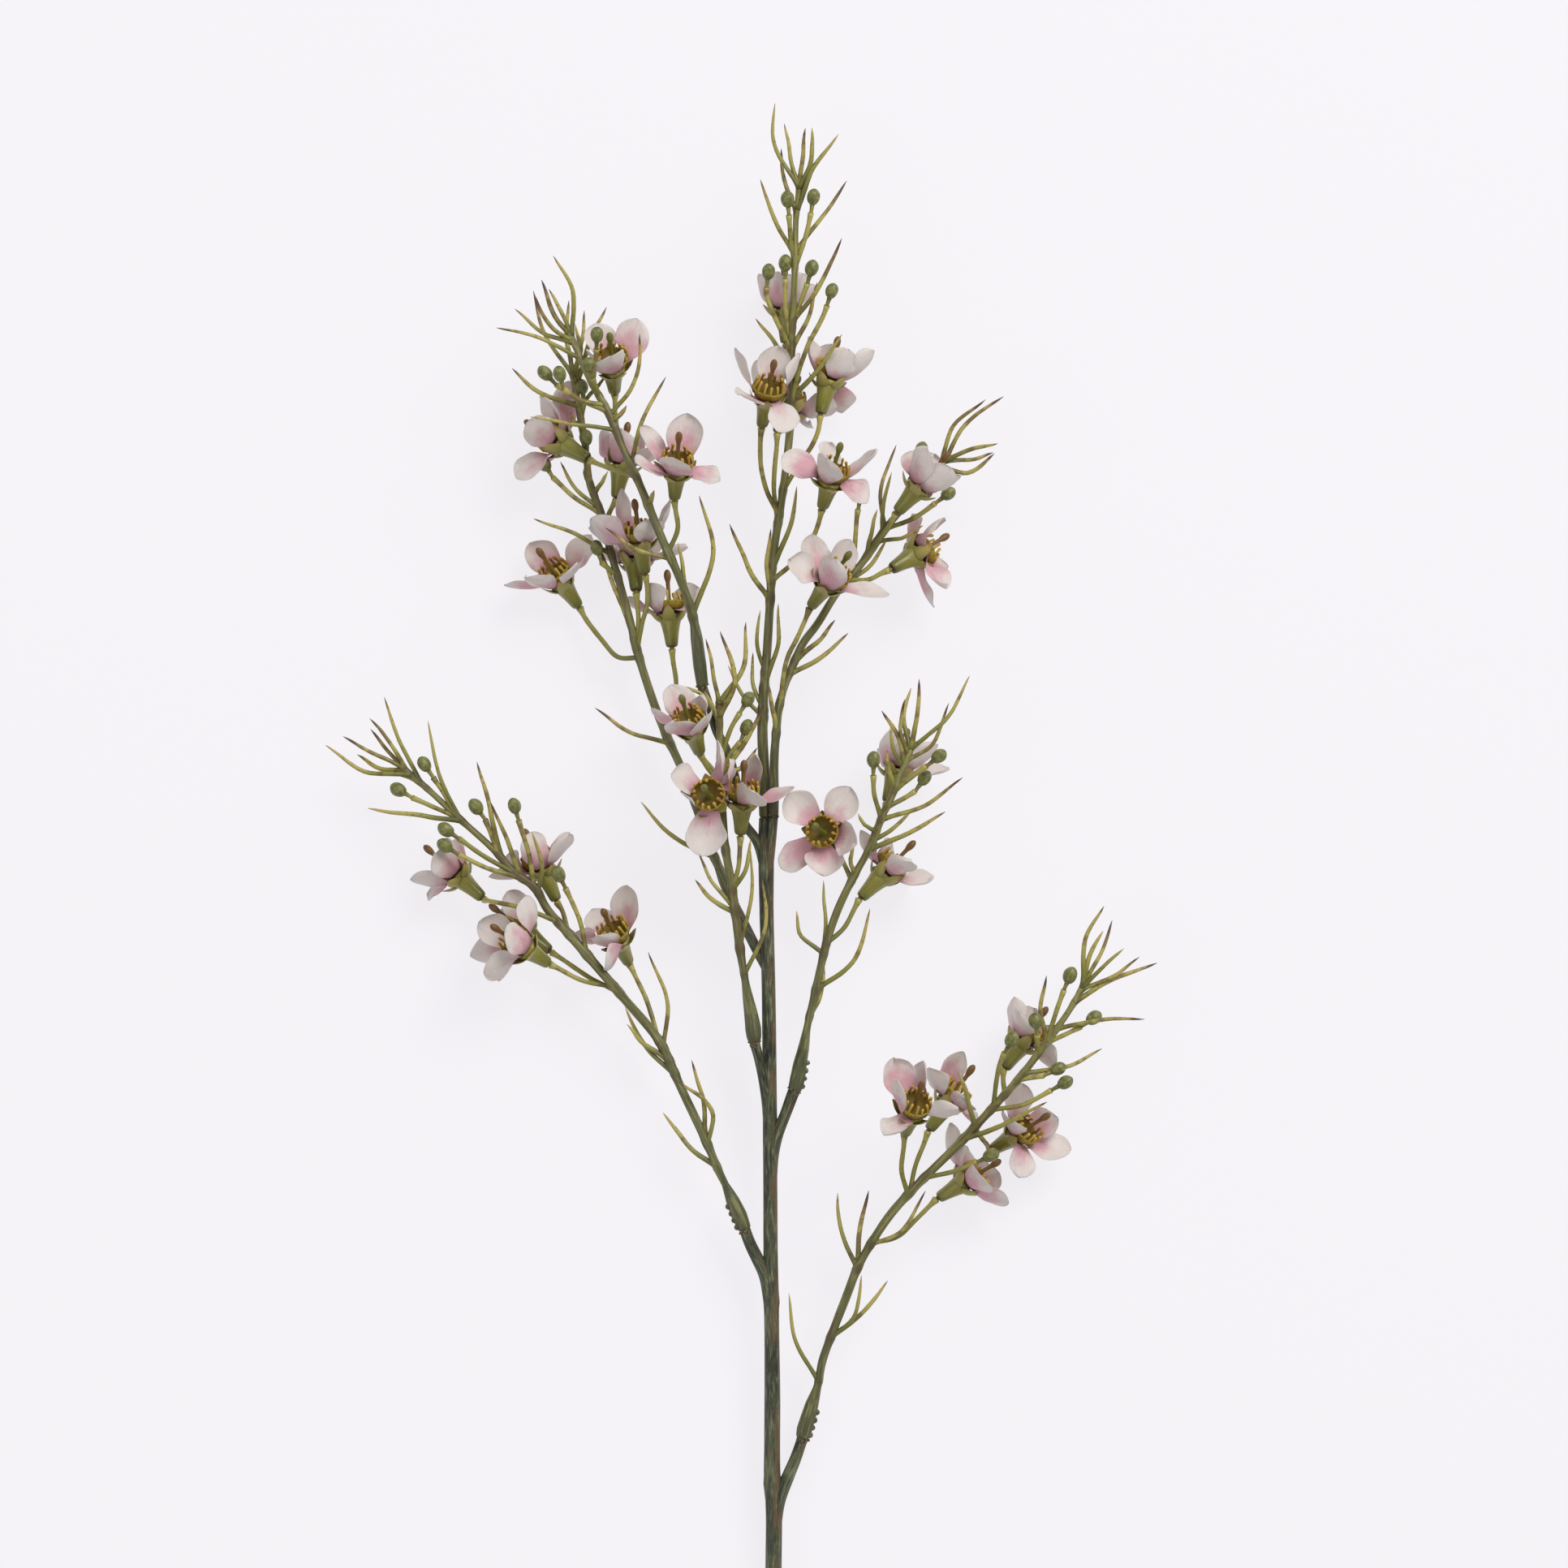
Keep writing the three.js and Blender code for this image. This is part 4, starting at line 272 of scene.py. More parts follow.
MID_RIGHT = dict(name="mid_right", nubs=-1, stem=[
    [6.5, 147.1, 15.7, 2.1], [7.4, 150.5, 15.9, 2.4], [8.2, 155, 16.2, 2.2], [9.3, 160, 16.6, 1.8],
    [10.2, 165.4, 16.9, 1.2], [10.7, 168, 17.2, 1.05], [12.2, 174.5, 17.8, 1.2], [14.3, 184, 18.6, 1.25],
    [16.3, 192.3, 19.4, 1.2], [20.1, 203.4, 20.4, 1.2], [24.4, 212.5, 21.4, 1.15], [29.3, 221.3, 23, 1.1],
    [33.7, 232, 25.4, 1.05], [37, 239, 28, 1], [40.9, 248.8, 30, 0.9], [42.3, 252.6, 30.4, 0.8],
], needles=[
    [40.4, 247.5, 38.2, 256, 33.2, 264, 3], [42, 252, 40, 261.5, 42.3, 271, -3],
    [42.2, 252.3, 44.4, 263, 44.7, 273.7, 3], [42.2, 252.3, 52.8, 261, 60.2, 274.7, 2],
    [40.9, 248.5, 49, 254, 53.9, 266.4, -3], [40, 246.6, 36.5, 253, 35.8, 259, 5],
    [41.6, 250.5, 38.9, 259, 40.3, 267.5, 6], [33.1, 230.5, 46.5, 235, 58.2, 243.5, 3],
    [29.3, 221, 42, 226.9, 52.9, 233, 4], [25, 213.6, 23.8, 218.5, 24.8, 224, 5],
    [15.6, 189, 7.9, 196, 7.1, 202.4, 2], [15.6, 189.4, 15.9, 200, 15.4, 211.8, -3],
    [11, 169.8, 15, 177.5, 15.4, 187, -3], [13, 178, 25.5, 188, 29.7, 203, 3],
    [31.5, 227, 28, 229, 26, 232.5, 3], [30.3, 223.8, 37.5, 228.4, 43.3, 234.3, -2],
    [37.5, 240, 35.3, 246, 34.9, 252, 4],
], buds=[
    [30.8, 249.2, 4, 30.7, 244.5, 30.9, 239, 33.2, 230.8], [51, 250.2, 4, 47, 247, 42.3, 243.5, 37.2, 239.4],
    [46.6, 243.5, 0, 44.4, 240.4, 42, 238.2, 34.8, 234.4],
], flowers=[
    [[18.4, 224.1, 17], [15.7, 226.3, 27.4], [[19.6, 221.5], [21.5, 217.5], [24, 211.8]], [
        [2.6, 215.2, 0, 4.6, 26], [15, 213.2, 0.4, 6, 26], [25.8, 224.2, 0.85, 5.4, 26],
        [23.8, 240.6, 0.2, 5.7, 26], [4.6, 238.6, 0.2, 5.5, 26]], "green"],
    [[26.9, 206.4, 16], [34.5, 214.3, 14.5], [[25.2, 203.6], [22, 197.5], [16.3, 192.3]], [
        [27, 227.3, 0, -2.4, 26], [42.5, 217.5, 0.8, -3.8, 26], [49.6, 212.5, -0.1, 2.7, 26],
        [42, 213.1, -1, 3.2, 26], [36.5, 224.2, -0.5, 2.4, 26]]],
    [[35, 236, 16.6], [38, 246.2, 13.8], [[34.2, 232.5], [31.2, 225.6]], [
        [36.7, 258.7, -0.1, -3.5, 26], [42.5, 256.6, 0.29, -3.3, 33], [50.2, 254.2, 0.32, -2.9, 33],
        [54.4, 246.3, -0.22, 2.1, 29], [32.3, 252.7, -0.34, -1.8, 17]]],
])

LOWER_LEFT = dict(name="lower_left", nubs=1, stem=[
    [-8.8, 104, 13.2, 2], [-10.6, 108.5, 13.4, 2.4], [-12.6, 113, 13.6, 2.1], [-14.9, 118, 14, 1.15],
    [-16.4, 121, 14.2, 1.25], [-20.3, 130.2, 14.8, 1.3], [-29.5, 150, 15.4, 1.35], [-34.1, 160.3, 15.8, 1.35],
    [-46.5, 176, 18.8, 1.4], [-54.3, 185.2, 21.4, 1.4], [-62.2, 194.3, 21, 1.4], [-70, 203.5, 19, 1.3],
    [-73.3, 209.4, 19.4, 1.2], [-79.5, 214, 19.4, 1.15], [-85.6, 220.6, 19, 1.1], [-95.9, 230, 18, 1],
    [-106.2, 239.6, 17, 0.9], [-113.8, 246.3, 16.5, 0.8],
], needles=[
    [-108.5, 241.7, -114.9, 253.6, -119.9, 268.3, 3], [-113.4, 246, -118.2, 254.4, -124.4, 261.7, 3],
    [-113.4, 246, -124, 251.4, -132.7, 256.2, 1], [-112.8, 245.4, -121, 246.3, -128.5, 250.6, -4],
    [-111.5, 244.3, -126, 245.6, -138, 253.5, 3], [-96.5, 230.5, -103, 244, -106.4, 261, 4],
    [-96.3, 230.3, -111, 231.9, -125, 234, 1], [-84, 218.9, -87.2, 233.5, -91.3, 248.3, 3],
    [-77.5, 212.6, -82.2, 224.3, -87, 236, 7], [-72.6, 208, -71.4, 217.5, -74.2, 226.8, 9],
    [-34, 160.2, -32.8, 173, -38.6, 189.7, 2], [-30.5, 152.2, -39, 159.5, -45.8, 172.7, -3],
    [-32.3, 156, -39.5, 161.2, -45.2, 167.5, 2], [-20.8, 131.3, -22, 145, -25.2, 156.4, 3],
    [-20.3, 130.3, -18.6, 139.5, -30, 150.5, 6], [-17.4, 123.3, -25.5, 129.2, -34.1, 140, -2],
    [-107, 240.3, -112.5, 243.3, -117.8, 245, -3], [-113.6, 246.2, -118.8, 251.6, -124.4, 258.5, -3],
], buds=[
    [-107.7, 247.8, 2, -105, 243.8, -101.8, 239, -97.5, 231.5],
    [-115.9, 239.9, -2, -111.6, 237.4, -105, 234.5, -96.9, 231],
    [-91.8, 234.7, 2, -88.8, 230.6, -86.7, 225.3, -84.6, 219.5],
    [-79.7, 235, 9, -77.9, 228.8, -75.4, 220.5, -73.7, 209.8],
    [-101, 227.6, 5, -96.2, 224.3, -88.7, 219, -79.5, 214],
    [-101.3, 222.7, 4, -96.6, 219.6, -88.7, 215.8, -77.5, 212.5],
    [-66.2, 214, 6, -63.6, 208.8, -59.6, 199.5, -57.4, 188.8],
], flowers=[
    [[-89.8, 206.3, 12.5], [-98, 213.6, 11.6],
     [[-87, 205.3, 18], [-80, 204, 23.4], [-72.6, 201.6, 22], [-66, 198.8, 18.5]], [
        [-112.1, 212.3, -0.05, -2.1, 26], [-104, 220, 0.62, -4.7, 25], [-97.7, 225, -0.08, -2.3, 26],
        [-101.5, 224.5, -0.7, 3, 26], [-107, 207.3, -0.57, 2.2, 19]]],
    [[-67, 205.5, 12.5], [-71.5, 215.5, 12.6], [[-65.2, 202.5], [-64.2, 199.4], [-63, 195.2]], [
        [-83.8, 217.7, 0.34, 3.9, 30], [-75.6, 226.3, 0.61, -4.3, 30], [-63.5, 225.9, 1, -1.9, 26],
        [-63.4, 226.8, 0.08, -2.5, 24], [-88, 213.3, 0.13, -2.2, 31]]],
    [[-69.3, 186.2, 20], [-77.2, 191.6, 25.6], [[-66.5, 184.8], [-59.6, 181.2], [-49, 179]], [
        [-84.7, 180.8, -0.36, -2, 23], [-89.1, 184.3, 0.95, -4.2, 30], [-82.3, 196.7, 0.95, -3.9, 31],
        [-75.6, 207.3, 0.59, -3.4, 59], [-90.6, 199.4, -0.29, 5.1, 40]]],
    [[-44.7, 186.2, 9.6], [-48.3, 193.8, 15.6], [[-42.8, 182.4], [-39.3, 175], [-35.2, 161.7]], [
        [-62.4, 194.6, 0.05, -2.3, 27], [-55, 194.8, 0.68, -2.8, 28], [-51.8, 184.6, 0.74, -2, 35],
        [-45.6, 210.4, 0.14, 4.2, 35], [-57.1, 202.2, -0.81, 4.1, 17]]],
    [[-69, 189.9, 14], [-77.5, 196.4, 12], [[-66, 188], [-57, 182], [-47.5, 177.2]], [
        [-89.7, 199.7, -0.45, 1.8, 59], [-93.6, 188.6, 0.27, -4.2, 75], [-82.3, 208.3, 0.11, -4.8, 36],
        [-80.7, 207.9, -0.7, 3.6, 27], [-86.8, 199.4, -0.94, 4.8, 22]]],
])

LOWER_RIGHT = dict(name="lower_right", nubs=-1, stem=[
    [8.95, 39.35, 9.4, 2.1], [9.7, 42, 9.45, 2.5], [10.9, 46, 9.6, 2.35], [12, 50, 9.8, 2.05],
    [13.7, 55.8, 10, 1.1], [15, 63, 10.6, 1.3], [17.9, 71.4, 11.5, 1.3], [22.7, 83.8, 13, 1.3],
    [26, 92.4, 14, 1.3], [30.3, 100, 15, 1.3], [36.1, 108.7, 16, 1.3], [43.7, 117.3, 17, 1.3],
    [58.1, 131.7, 19, 1.3], [69.6, 144, 21.5, 1.2], [76.3, 151.8, 23, 1.1], [82, 159.4, 24.5, 1.1],
    [91.6, 172.8, 25, 0.95], [95.4, 179.5, 24.5, 0.85],
], needles=[
    [95.3, 179.2, 96, 193.5, 101.6, 204, 4], [95.3, 179.3, 101.3, 190.5, 104.3, 199.6, -3],
    [95, 178.6, 97.6, 189, 101.4, 196.3, 1], [95, 178.7, 101.7, 185.7, 107.7, 191, 5],
    [94.6, 178, 104.4, 182.6, 112.6, 188.3, 1], [92.5, 174.2, 105, 181.7, 118.1, 186.4, -3],
    [86.8, 166, 99, 168.9, 114.1, 169.2, 4], [83.9, 162.2, 82.3, 173, 83.9, 182.6, 5],
    [76.8, 152.3, 89.5, 154.3, 101.2, 160, -3], [58.5, 132, 71.5, 137, 83.9, 144, 17],
    [25.8, 92, 20, 107, 19.8, 115.4, 3], [26, 92.4, 27, 105, 29.4, 116, -2],
    [30, 99.5, 39.5, 103.6, 46.9, 116.2, 4], [17.6, 70.6, 24.7, 76.5, 27.2, 90, 2],
    [13.8, 57, 6.4, 71, 4.75, 84.3, 2], [62, 135.9, 59.6, 145.5, 56.7, 153, 12],
    [17.6, 70.6, 26.8, 77.5, 35.3, 88, -2],
], buds=[
    [91.3, 182.9, 3, 89.2, 178, 86.8, 171, 84.2, 162.5],
    [98.8, 169.7, -1, 94.6, 166.8, 90.5, 164.8, 83.6, 161.6], [80.4, 169, 6, 81, 165, 81.5, 158.7],
    [73.4, 163.2, 8, 70.6, 158, 68.6, 150, 67.8, 142.1], [87.8, 154, 1, 84.5, 152.4, 80, 151.2, 75.2, 150.5],
    [90, 149.8, 3, 85.4, 147.2, 77, 142.8, 67, 141.2],
    [67.2, 127.4, 6, 62.9, 125.2, 56.2, 122.4, 46.5, 120.1],
], flowers=[
    [[40.4, 134, 26], [42.8, 141.4, 33.8], [[40.1, 130], [39.4, 123], [41.5, 114.8]], [
        [38.1, 150.8, 0.92, -2.4, 25], [33.3, 134.3, 0.67, 3.1, 24], [56.6, 142.1, 0.69, -2.9, 37],
        [46.1, 156.6, -0.22, 2.4, 34], [36.7, 157.5, -0.07, 5, 37]]],
    [[48, 134.8, 14.6], [54.3, 143.8, 14.4], [[46.6, 131], [44, 124.5], [42, 115.4]], [
        [58.6, 159, -0.42, 3.4, 40], [48.7, 154.2, 0.28, -3.7, 26], [60.3, 143.2, 0.42, -3.4, 31],
        [63.7, 136, 0, 1, 39], [53.9, 156.4, -0.49, 3.6, 26]]],
    [[71.3, 153.8, 15.5], [77.3, 162.3, 13.8], [[70.8, 150], [71.3, 146]], [
        [74.9, 175.9, -0.42, -2.4, 31], [76, 171.3, 0.6, -2.8, 26], [87.4, 156, 0.27, -3.2, 29],
        [87.3, 166.8, -0.2, 2.4, 28], [80.6, 172, -0.71, 4.3, 16]]],
    [[67.5, 128.3, 7], [75.5, 133.5, 12], [[66, 130, 10.4], [64.4, 132, 15.8], [62, 135.6]], [
        [76.3, 149.3, 0.05, 4, 31], [72, 139.2, 0.81, -2.5, 21], [76.4, 120.1, 0.43, 4, 17],
        [91.9, 128.3, 0.12, 4.3, 26], [87.9, 138.7, 0.19, 4.5, 34]]],
    [[50.9, 113.7, 12.6], [59.6, 119, 13.4], [[48.3, 111.4], [43.7, 106.8], [38, 101.7], [30.3, 100]], [
        [55, 137.1, -0.13, -3.2, 26], [65.3, 119.5, 1, -4.8, 26], [72.6, 112, 0.1, -2.4, 26],
        [69.8, 121.5, -0.4, 4.8, 26], [59.8, 129.5, -0.6, 3.5, 26]]],
])

SPRIGS = [CROWN, UPPER_RIGHT, LEFT_FRONT, LEFT_BACK, CENTRE, MID_RIGHT, LOWER_LEFT, LOWER_RIGHT]
chance = random.Random(9338)
UP = np.array([0.0, 0.0, 1.0])
TURN = 2 * math.pi
# How far apart, in millimetres of grain, the tones 0 and 1 place two bars or two other parts of a piece.
BARS_APART, PARTS_APART = 900, 500


def any_phase():
    return chance.uniform(0, 6.3)


# ---- curves and skins ----
def drawing_origin():
    """Where the drawing's origin lies in the frame, in metres."""
    return np.array([
        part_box("lower_left_sprig")[0].x - LEFT_TIP * MM,
        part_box("crown_sprig")[1].y - TOP_TIP * MM,
        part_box("main_stem")[0].z - FOOT_UNDERSIDE * MM,
    ])


ORIGIN = drawing_origin()


def unit(vector):
    return vector / np.linalg.norm(vector)


def runs_along(path):
    """Distance run at each point of a path."""
    return np.concatenate([[0.0], np.cumsum(np.linalg.norm(np.diff(path, axis=0), axis=1))])


def smooth_curve(points, spacing):
    """Stations about `spacing` apart on a smooth curve through the points, and their runs by chord."""
    points = np.array(points, float)
    runs = runs_along(points)
    slopes = np.gradient(points, runs, axis=0)
    stations = [0.0]
    for start, end in zip(runs, runs[1:]):
        count = max(1, round((end - start) / spacing))
        stations += list(start + (end - start) * np.arange(1, count + 1) / count)
    stations = np.array(stations)
    i = np.clip(np.searchsorted(runs, stations, side="right") - 1, 0, len(runs) - 2)
    span = (runs[i + 1] - runs[i])[:, None]
    t = (stations - runs[i])[:, None] / span
    curve = (1 + 2 * t) * (1 - t) ** 2 * points[i] + t * (1 - t) ** 2 * span * slopes[i]
    curve += t * t * (3 - 2 * t) * points[i + 1] + t * t * (t - 1) * span * slopes[i + 1]
    return curve, stations, runs


def sides_along(path):
    """At each point of a path, two directions across it that don't twist."""
    ahead = np.gradient(path, axis=0)
    ahead /= np.linalg.norm(ahead, axis=1)[:, None]
    side = UP if abs(ahead[0, 2]) < 0.99 else np.array([0.0, 1.0, 0.0])
    sides = []
    for way in ahead:
        side = unit(side - way * side.dot(way))
        sides.append(side)
    sides = np.array(sides)
    return sides, np.cross(ahead, sides)


def spread(given, rings):
    """Three numbers or arrays, as one value for each point of the rings."""
    return np.stack([np.broadcast_to(each, rings.shape[:2]) for each in given], axis=-1)


class Skin:
    """Points and faces of one piece. Each point keeps its place on its own part, for the finishes:
    grain is in millimetres, with z along the part; mark is share along, place across, and tone."""

    def __init__(self):
        self.points, self.grains, self.marks, self.faces, self.finishes = [], [], [], [], []
        self.count = 0

    def cover(self, rings, finish, grain, mark):
        """Closed skin over rings of points, an array of rings by sides by 3, with a fan over each end."""
        number, sides = rings.shape[:2]
        grown = (self.points, rings), (self.grains, spread(grain, rings)), (self.marks, spread(mark, rings))
        for kept, whole in grown:
            kept += [whole.reshape(-1, 3), whole[0].mean(0)[None], whole[-1].mean(0)[None]]
        k = np.arange(sides)
        after = (k + 1) % sides
        row = np.arange(number - 1)[:, None] * sides
        last, foot, head = (number - 1) * sides, number * sides, number * sides + 1
        quads = np.stack([row + k, row + after, row + sides + after, row + sides + k], axis=-1)
        made = (quads.reshape(-1, 4) + self.count).tolist()
        for fan in ([np.full(sides, foot), after, k], [np.full(sides, head), last + k, last + after]):
            made += (np.stack(fan, axis=-1) + self.count).tolist()
        self.faces += made
        self.finishes += [finish] * len(made)
        self.count += number * sides + 2

    def piece(self, name, finishes, node, slot):
        """The visible piece, in place of one node of the solids."""
        mesh = bpy.data.meshes.new(name)
        places = np.concatenate(self.points) * MM + ORIGIN
        mesh.from_pydata(places.tolist(), [], self.faces)
        order = list(finishes)
        for each in finishes.values():
            mesh.materials.append(each)
        numbers = np.array([order.index(each) for each in self.finishes], np.int32)
        mesh.polygons.foreach_set("material_index", numbers)
        mesh.polygons.foreach_set("use_smooth", np.ones(len(self.faces), bool))
        for label, kept in (("grain", self.grains), ("mark", self.marks)):
            attribute = mesh.attributes.new(label, "FLOAT_VECTOR", "POINT")
            attribute.data.foreach_set("vector", np.concatenate(kept).astype(np.float32).ravel())
        mesh.update()
        made = bpy.data.objects.new(name, mesh)
        bpy.context.scene.collection.objects.link(made)
        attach(made, "root")
        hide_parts(node)


def tube(skin, path, radii, sides, finish, tone, relief=None, shares=None, knots=None):
    """Round bar along a path; relief gives the share that its surface stands out at each run and angle.
    Knots, if given, say how near a joint each station is, and take the angle's place in the marks."""
    path = np.asarray(path, float)
    radii = np.asarray(radii, float)[:, None]
    side, across = sides_along(path)
    run = runs_along(path)[:, None]
    angle = TURN * (np.arange(sides) + 0.5)[None, :] / sides
    if relief:
        radii = radii * (1 + relief(run, angle))
    out = np.cos(angle)[..., None] * side[:, None] + np.sin(angle)[..., None] * across[:, None]
    share = run / run[-1] if shares is None else np.asarray(shares)[:, None]
    around = angle / TURN if knots is None else knots[:, None]
    skin.cover(path[:, None] + radii[..., None] * out, finish,
               (radii * np.cos(angle), radii * np.sin(angle), run + BARS_APART * tone), (share, around, tone))


def lumps(size, waves):
    """Uneven relief: slow waves round and along a bar. Each wave is [turns round, radians per mm]."""
    phases = [chance.uniform(0, TURN) for _ in waves]

    def relief(run, angle):
        total = sum(np.sin(turns * angle + rate * run + phase) for (turns, rate), phase in zip(waves, phases))
        return size * total / math.sqrt(len(waves))

    return relief


def on_axis(stem, x, y):
    """Point of a stem's axis that lies nearest to (x, y) in plan."""
    axis = np.array(stem, float)[:, :3]
    starts, spans = axis[:-1], np.diff(axis, axis=0)
    away = np.array([x, y]) - starts[:, :2]
    share = np.clip((away * spans[:, :2]).sum(1) / (spans[:, :2] ** 2).sum(1), 0, 1)
    near = starts + share[:, None] * spans
    return near[np.argmin(np.hypot(near[:, 0] - x, near[:, 1] - y))]


def stalk_path(stem, end, route):
    """Stalk points between the stem and an end; heights that aren't given follow the length."""
    root = on_axis(stem, *route[-1][:2])
    route = route[-2::-1]
    runs = runs_along(np.array([root[:2]] + [each[:2] for each in route] + [end[:2]]))
    path = [root]
    for run, each in zip(runs[1:], route):
        height = each[2] if len(each) > 2 else root[2] + (end[2] - root[2]) * run / runs[-1]
        path.append(np.array([*each[:2], height]))
    return path + [np.array(end, float)]


# ---- needles and buds: (share along or distance along, radius) ----
NEEDLE_RADII = [
    (0, 1.1), (0.04, 0.92), (0.12, 0.8), (0.45, 0.73), (0.7, 0.64), (0.88, 0.44), (0.97, 0.25), (1, 0.06),
]
BUD_RADII = [
    (-2.9, 0.55), (-2.65, 0.9), (-2.2, 1.42), (-1.5, 1.82), (-0.6, 2.04), (0.3, 2.04), (1.1, 1.82),
    (1.75, 1.38), (2.15, 0.9), (2.38, 0.45), (2.45, 0.12),
]
NEEDLE_WAVES, STALK_WAVES = [[1, 0.9], [2, 0.5], [0, 1.7]], [[1, 0.7], [2, 0.4], [0, 1.3]]
BUD_WAVES = [[5, 0.15], [2, 0.6], [3, 0.9]]
BUD_TO_COLLAR = 5.2
STALK_RADIUS = 0.78
NEEDLE_SPACING, STALK_SPACING = 1.8, 1.2
SWAY = 0.25
SLIM_SIDES = 8


def needle(skin, stem, row):
    """Needle leaf, tapered to its tip and bent a little to all sides."""
    *plan, rise = row
    root = on_axis(stem, *plan[:2])
    middle = np.array([*plan[2:4], root[2] + 0.4 * rise])
    tip = np.array([*plan[4:], root[2] + rise])
    path, _, _ = smooth_curve([root, middle, tip], NEEDLE_SPACING)
    sway = np.sin(np.linspace(0, math.pi, len(path))) * SWAY
    for axis in range(3):
        bends = chance.uniform(0.5, 1.5)
        path[:, axis] += sway * np.sin(np.linspace(0, TURN * bends, len(path)) + any_phase())
    share = runs_along(path)
    share /= share[-1]
    radii = np.interp(share, *zip(*NEEDLE_RADII)) * chance.uniform(0.88, 1.12)
    tube(skin, path, radii, SLIM_SIDES, "needle", chance.random(), lumps(0.05, NEEDLE_WAVES))


def stalk(skin, path, flare):
    """Slim stalk from its root to the flared collar below a bud or flower."""
    root_swell, root_length, flare_length = 0.35, 1.2, 3.2
    path, _, _ = smooth_curve(path, STALK_SPACING)
    run = runs_along(path)
    left = run[-1] - run
    radii = STALK_RADIUS + root_swell * np.exp(-run / root_length)
    radii += (flare - STALK_RADIUS) * np.clip(1 - left / flare_length, 0, 1) ** 1.5
    tube(skin, path, radii, SLIM_SIDES, "needle", chance.random(), lumps(0.05, STALK_WAVES),
         0.15 + 0.45 * run / run[-1])


def bud(skin, stem, row):
    """Round bud on its own stalk, whose collar flares below it."""
    x, y, rise, *numbers = row
    route = [numbers[i:i + 2] for i in range(0, len(numbers), 2)]
    centre = np.array([x, y, on_axis(stem, *route[-1])[2] + rise])
    path = stalk_path(stem, centre, route)[:-1]
    away = centre - path[-1]
    along = unit(away)
    collar = centre - BUD_TO_COLLAR * along
    if np.linalg.norm(away) < BUD_TO_COLLAR + 1:
        path = path[:-1]
    stalk(skin, path + [collar], 1.05)
    size = chance.uniform(0.94, 1.06)
    neck = [collar - 0.1 * along, collar + 0.35 * along, collar + 1.2 * along, centre - 2.4 * along]
    tube(skin, neck, [0.85, 0.6, 0.62, 0.8], 10, "needle", chance.random(), shares=[0.2, 0.2, 0.15, 0.1])
    body = [centre + size * distance * along for distance, _ in BUD_RADII]
    radii = [size * radius for _, radius in BUD_RADII]
    tube(skin, body, radii, 18, "bud", chance.random(), lumps(0.035, BUD_WAVES))


# ---- flowers ----
class Flower:
    """A flower's axis, from its foot to its mouth, the two directions across it, and how its petals lie."""

    def __init__(self, foot, mouth, route, petals, style="brown", blush=0):
        self.foot, self.mouth = np.array(foot, float), np.array(mouth, float)
        self.route, self.style, self.blush = route, style, blush
        length = np.linalg.norm(self.mouth - self.foot)
        self.axis = (self.mouth - self.foot) / length
        self.up = unit(UP - self.axis * self.axis[2])
        self.across = np.cross(self.up, self.axis)
        self.stretch = length / MOUTH
        self.turn, self.blades = self.whorl(petals)

    def outward(self, angle):
        """The way from the axis at an angle round it."""
        angle = np.asarray(angle, float)[..., None]
        return self.across * np.cos(angle) + self.up * np.sin(angle)

    def at(self, radius, angle, height):
        """A place in the flower, at a radius and angle round its axis and a height along it."""
        height = np.asarray(height, float)[..., None] * self.stretch
        return self.foot + self.axis * height + self.outward(angle) * np.asarray(radius, float)[..., None]

    def whorl(self, petals):
        """The whorl's own azimuth and its five blades, whose roots are half-way to an even whorl."""
        step = TURN / PETALS
        azimuths = []
        for x, y, slope, _, _ in petals:
            reach = tip_from(self.mouth, PETAL_LENGTH + RING_RADIUS, x, y, slope) - self.mouth
            azimuths.append(math.atan2(reach.dot(self.up), reach.dot(self.across)))
        turn = math.atan2(sum(math.sin(PETALS * each) for each in azimuths),
                          sum(math.cos(PETALS * each) for each in azimuths)) / PETALS
        free = list(range(PETALS))
        blades = []
        for azimuth, numbers in zip(azimuths, petals):
            offsets = {k: math.remainder(azimuth - turn - k * step, TURN) for k in free}
            best = min(free, key=lambda k: abs(offsets[k]))
            free.remove(best)
            blades.append(Blade(self, turn + best * step + offsets[best] / 2, *numbers))
        return turn, blades


def tip_from(root, length, x, y, slope):
    """Tip of a blade of a length from its root, over its place in plan."""
    run = math.hypot(x - root[0], y - root[1])
    return np.array([x, y, root[2] + slope * math.sqrt(max(0, length ** 2 - run ** 2))])


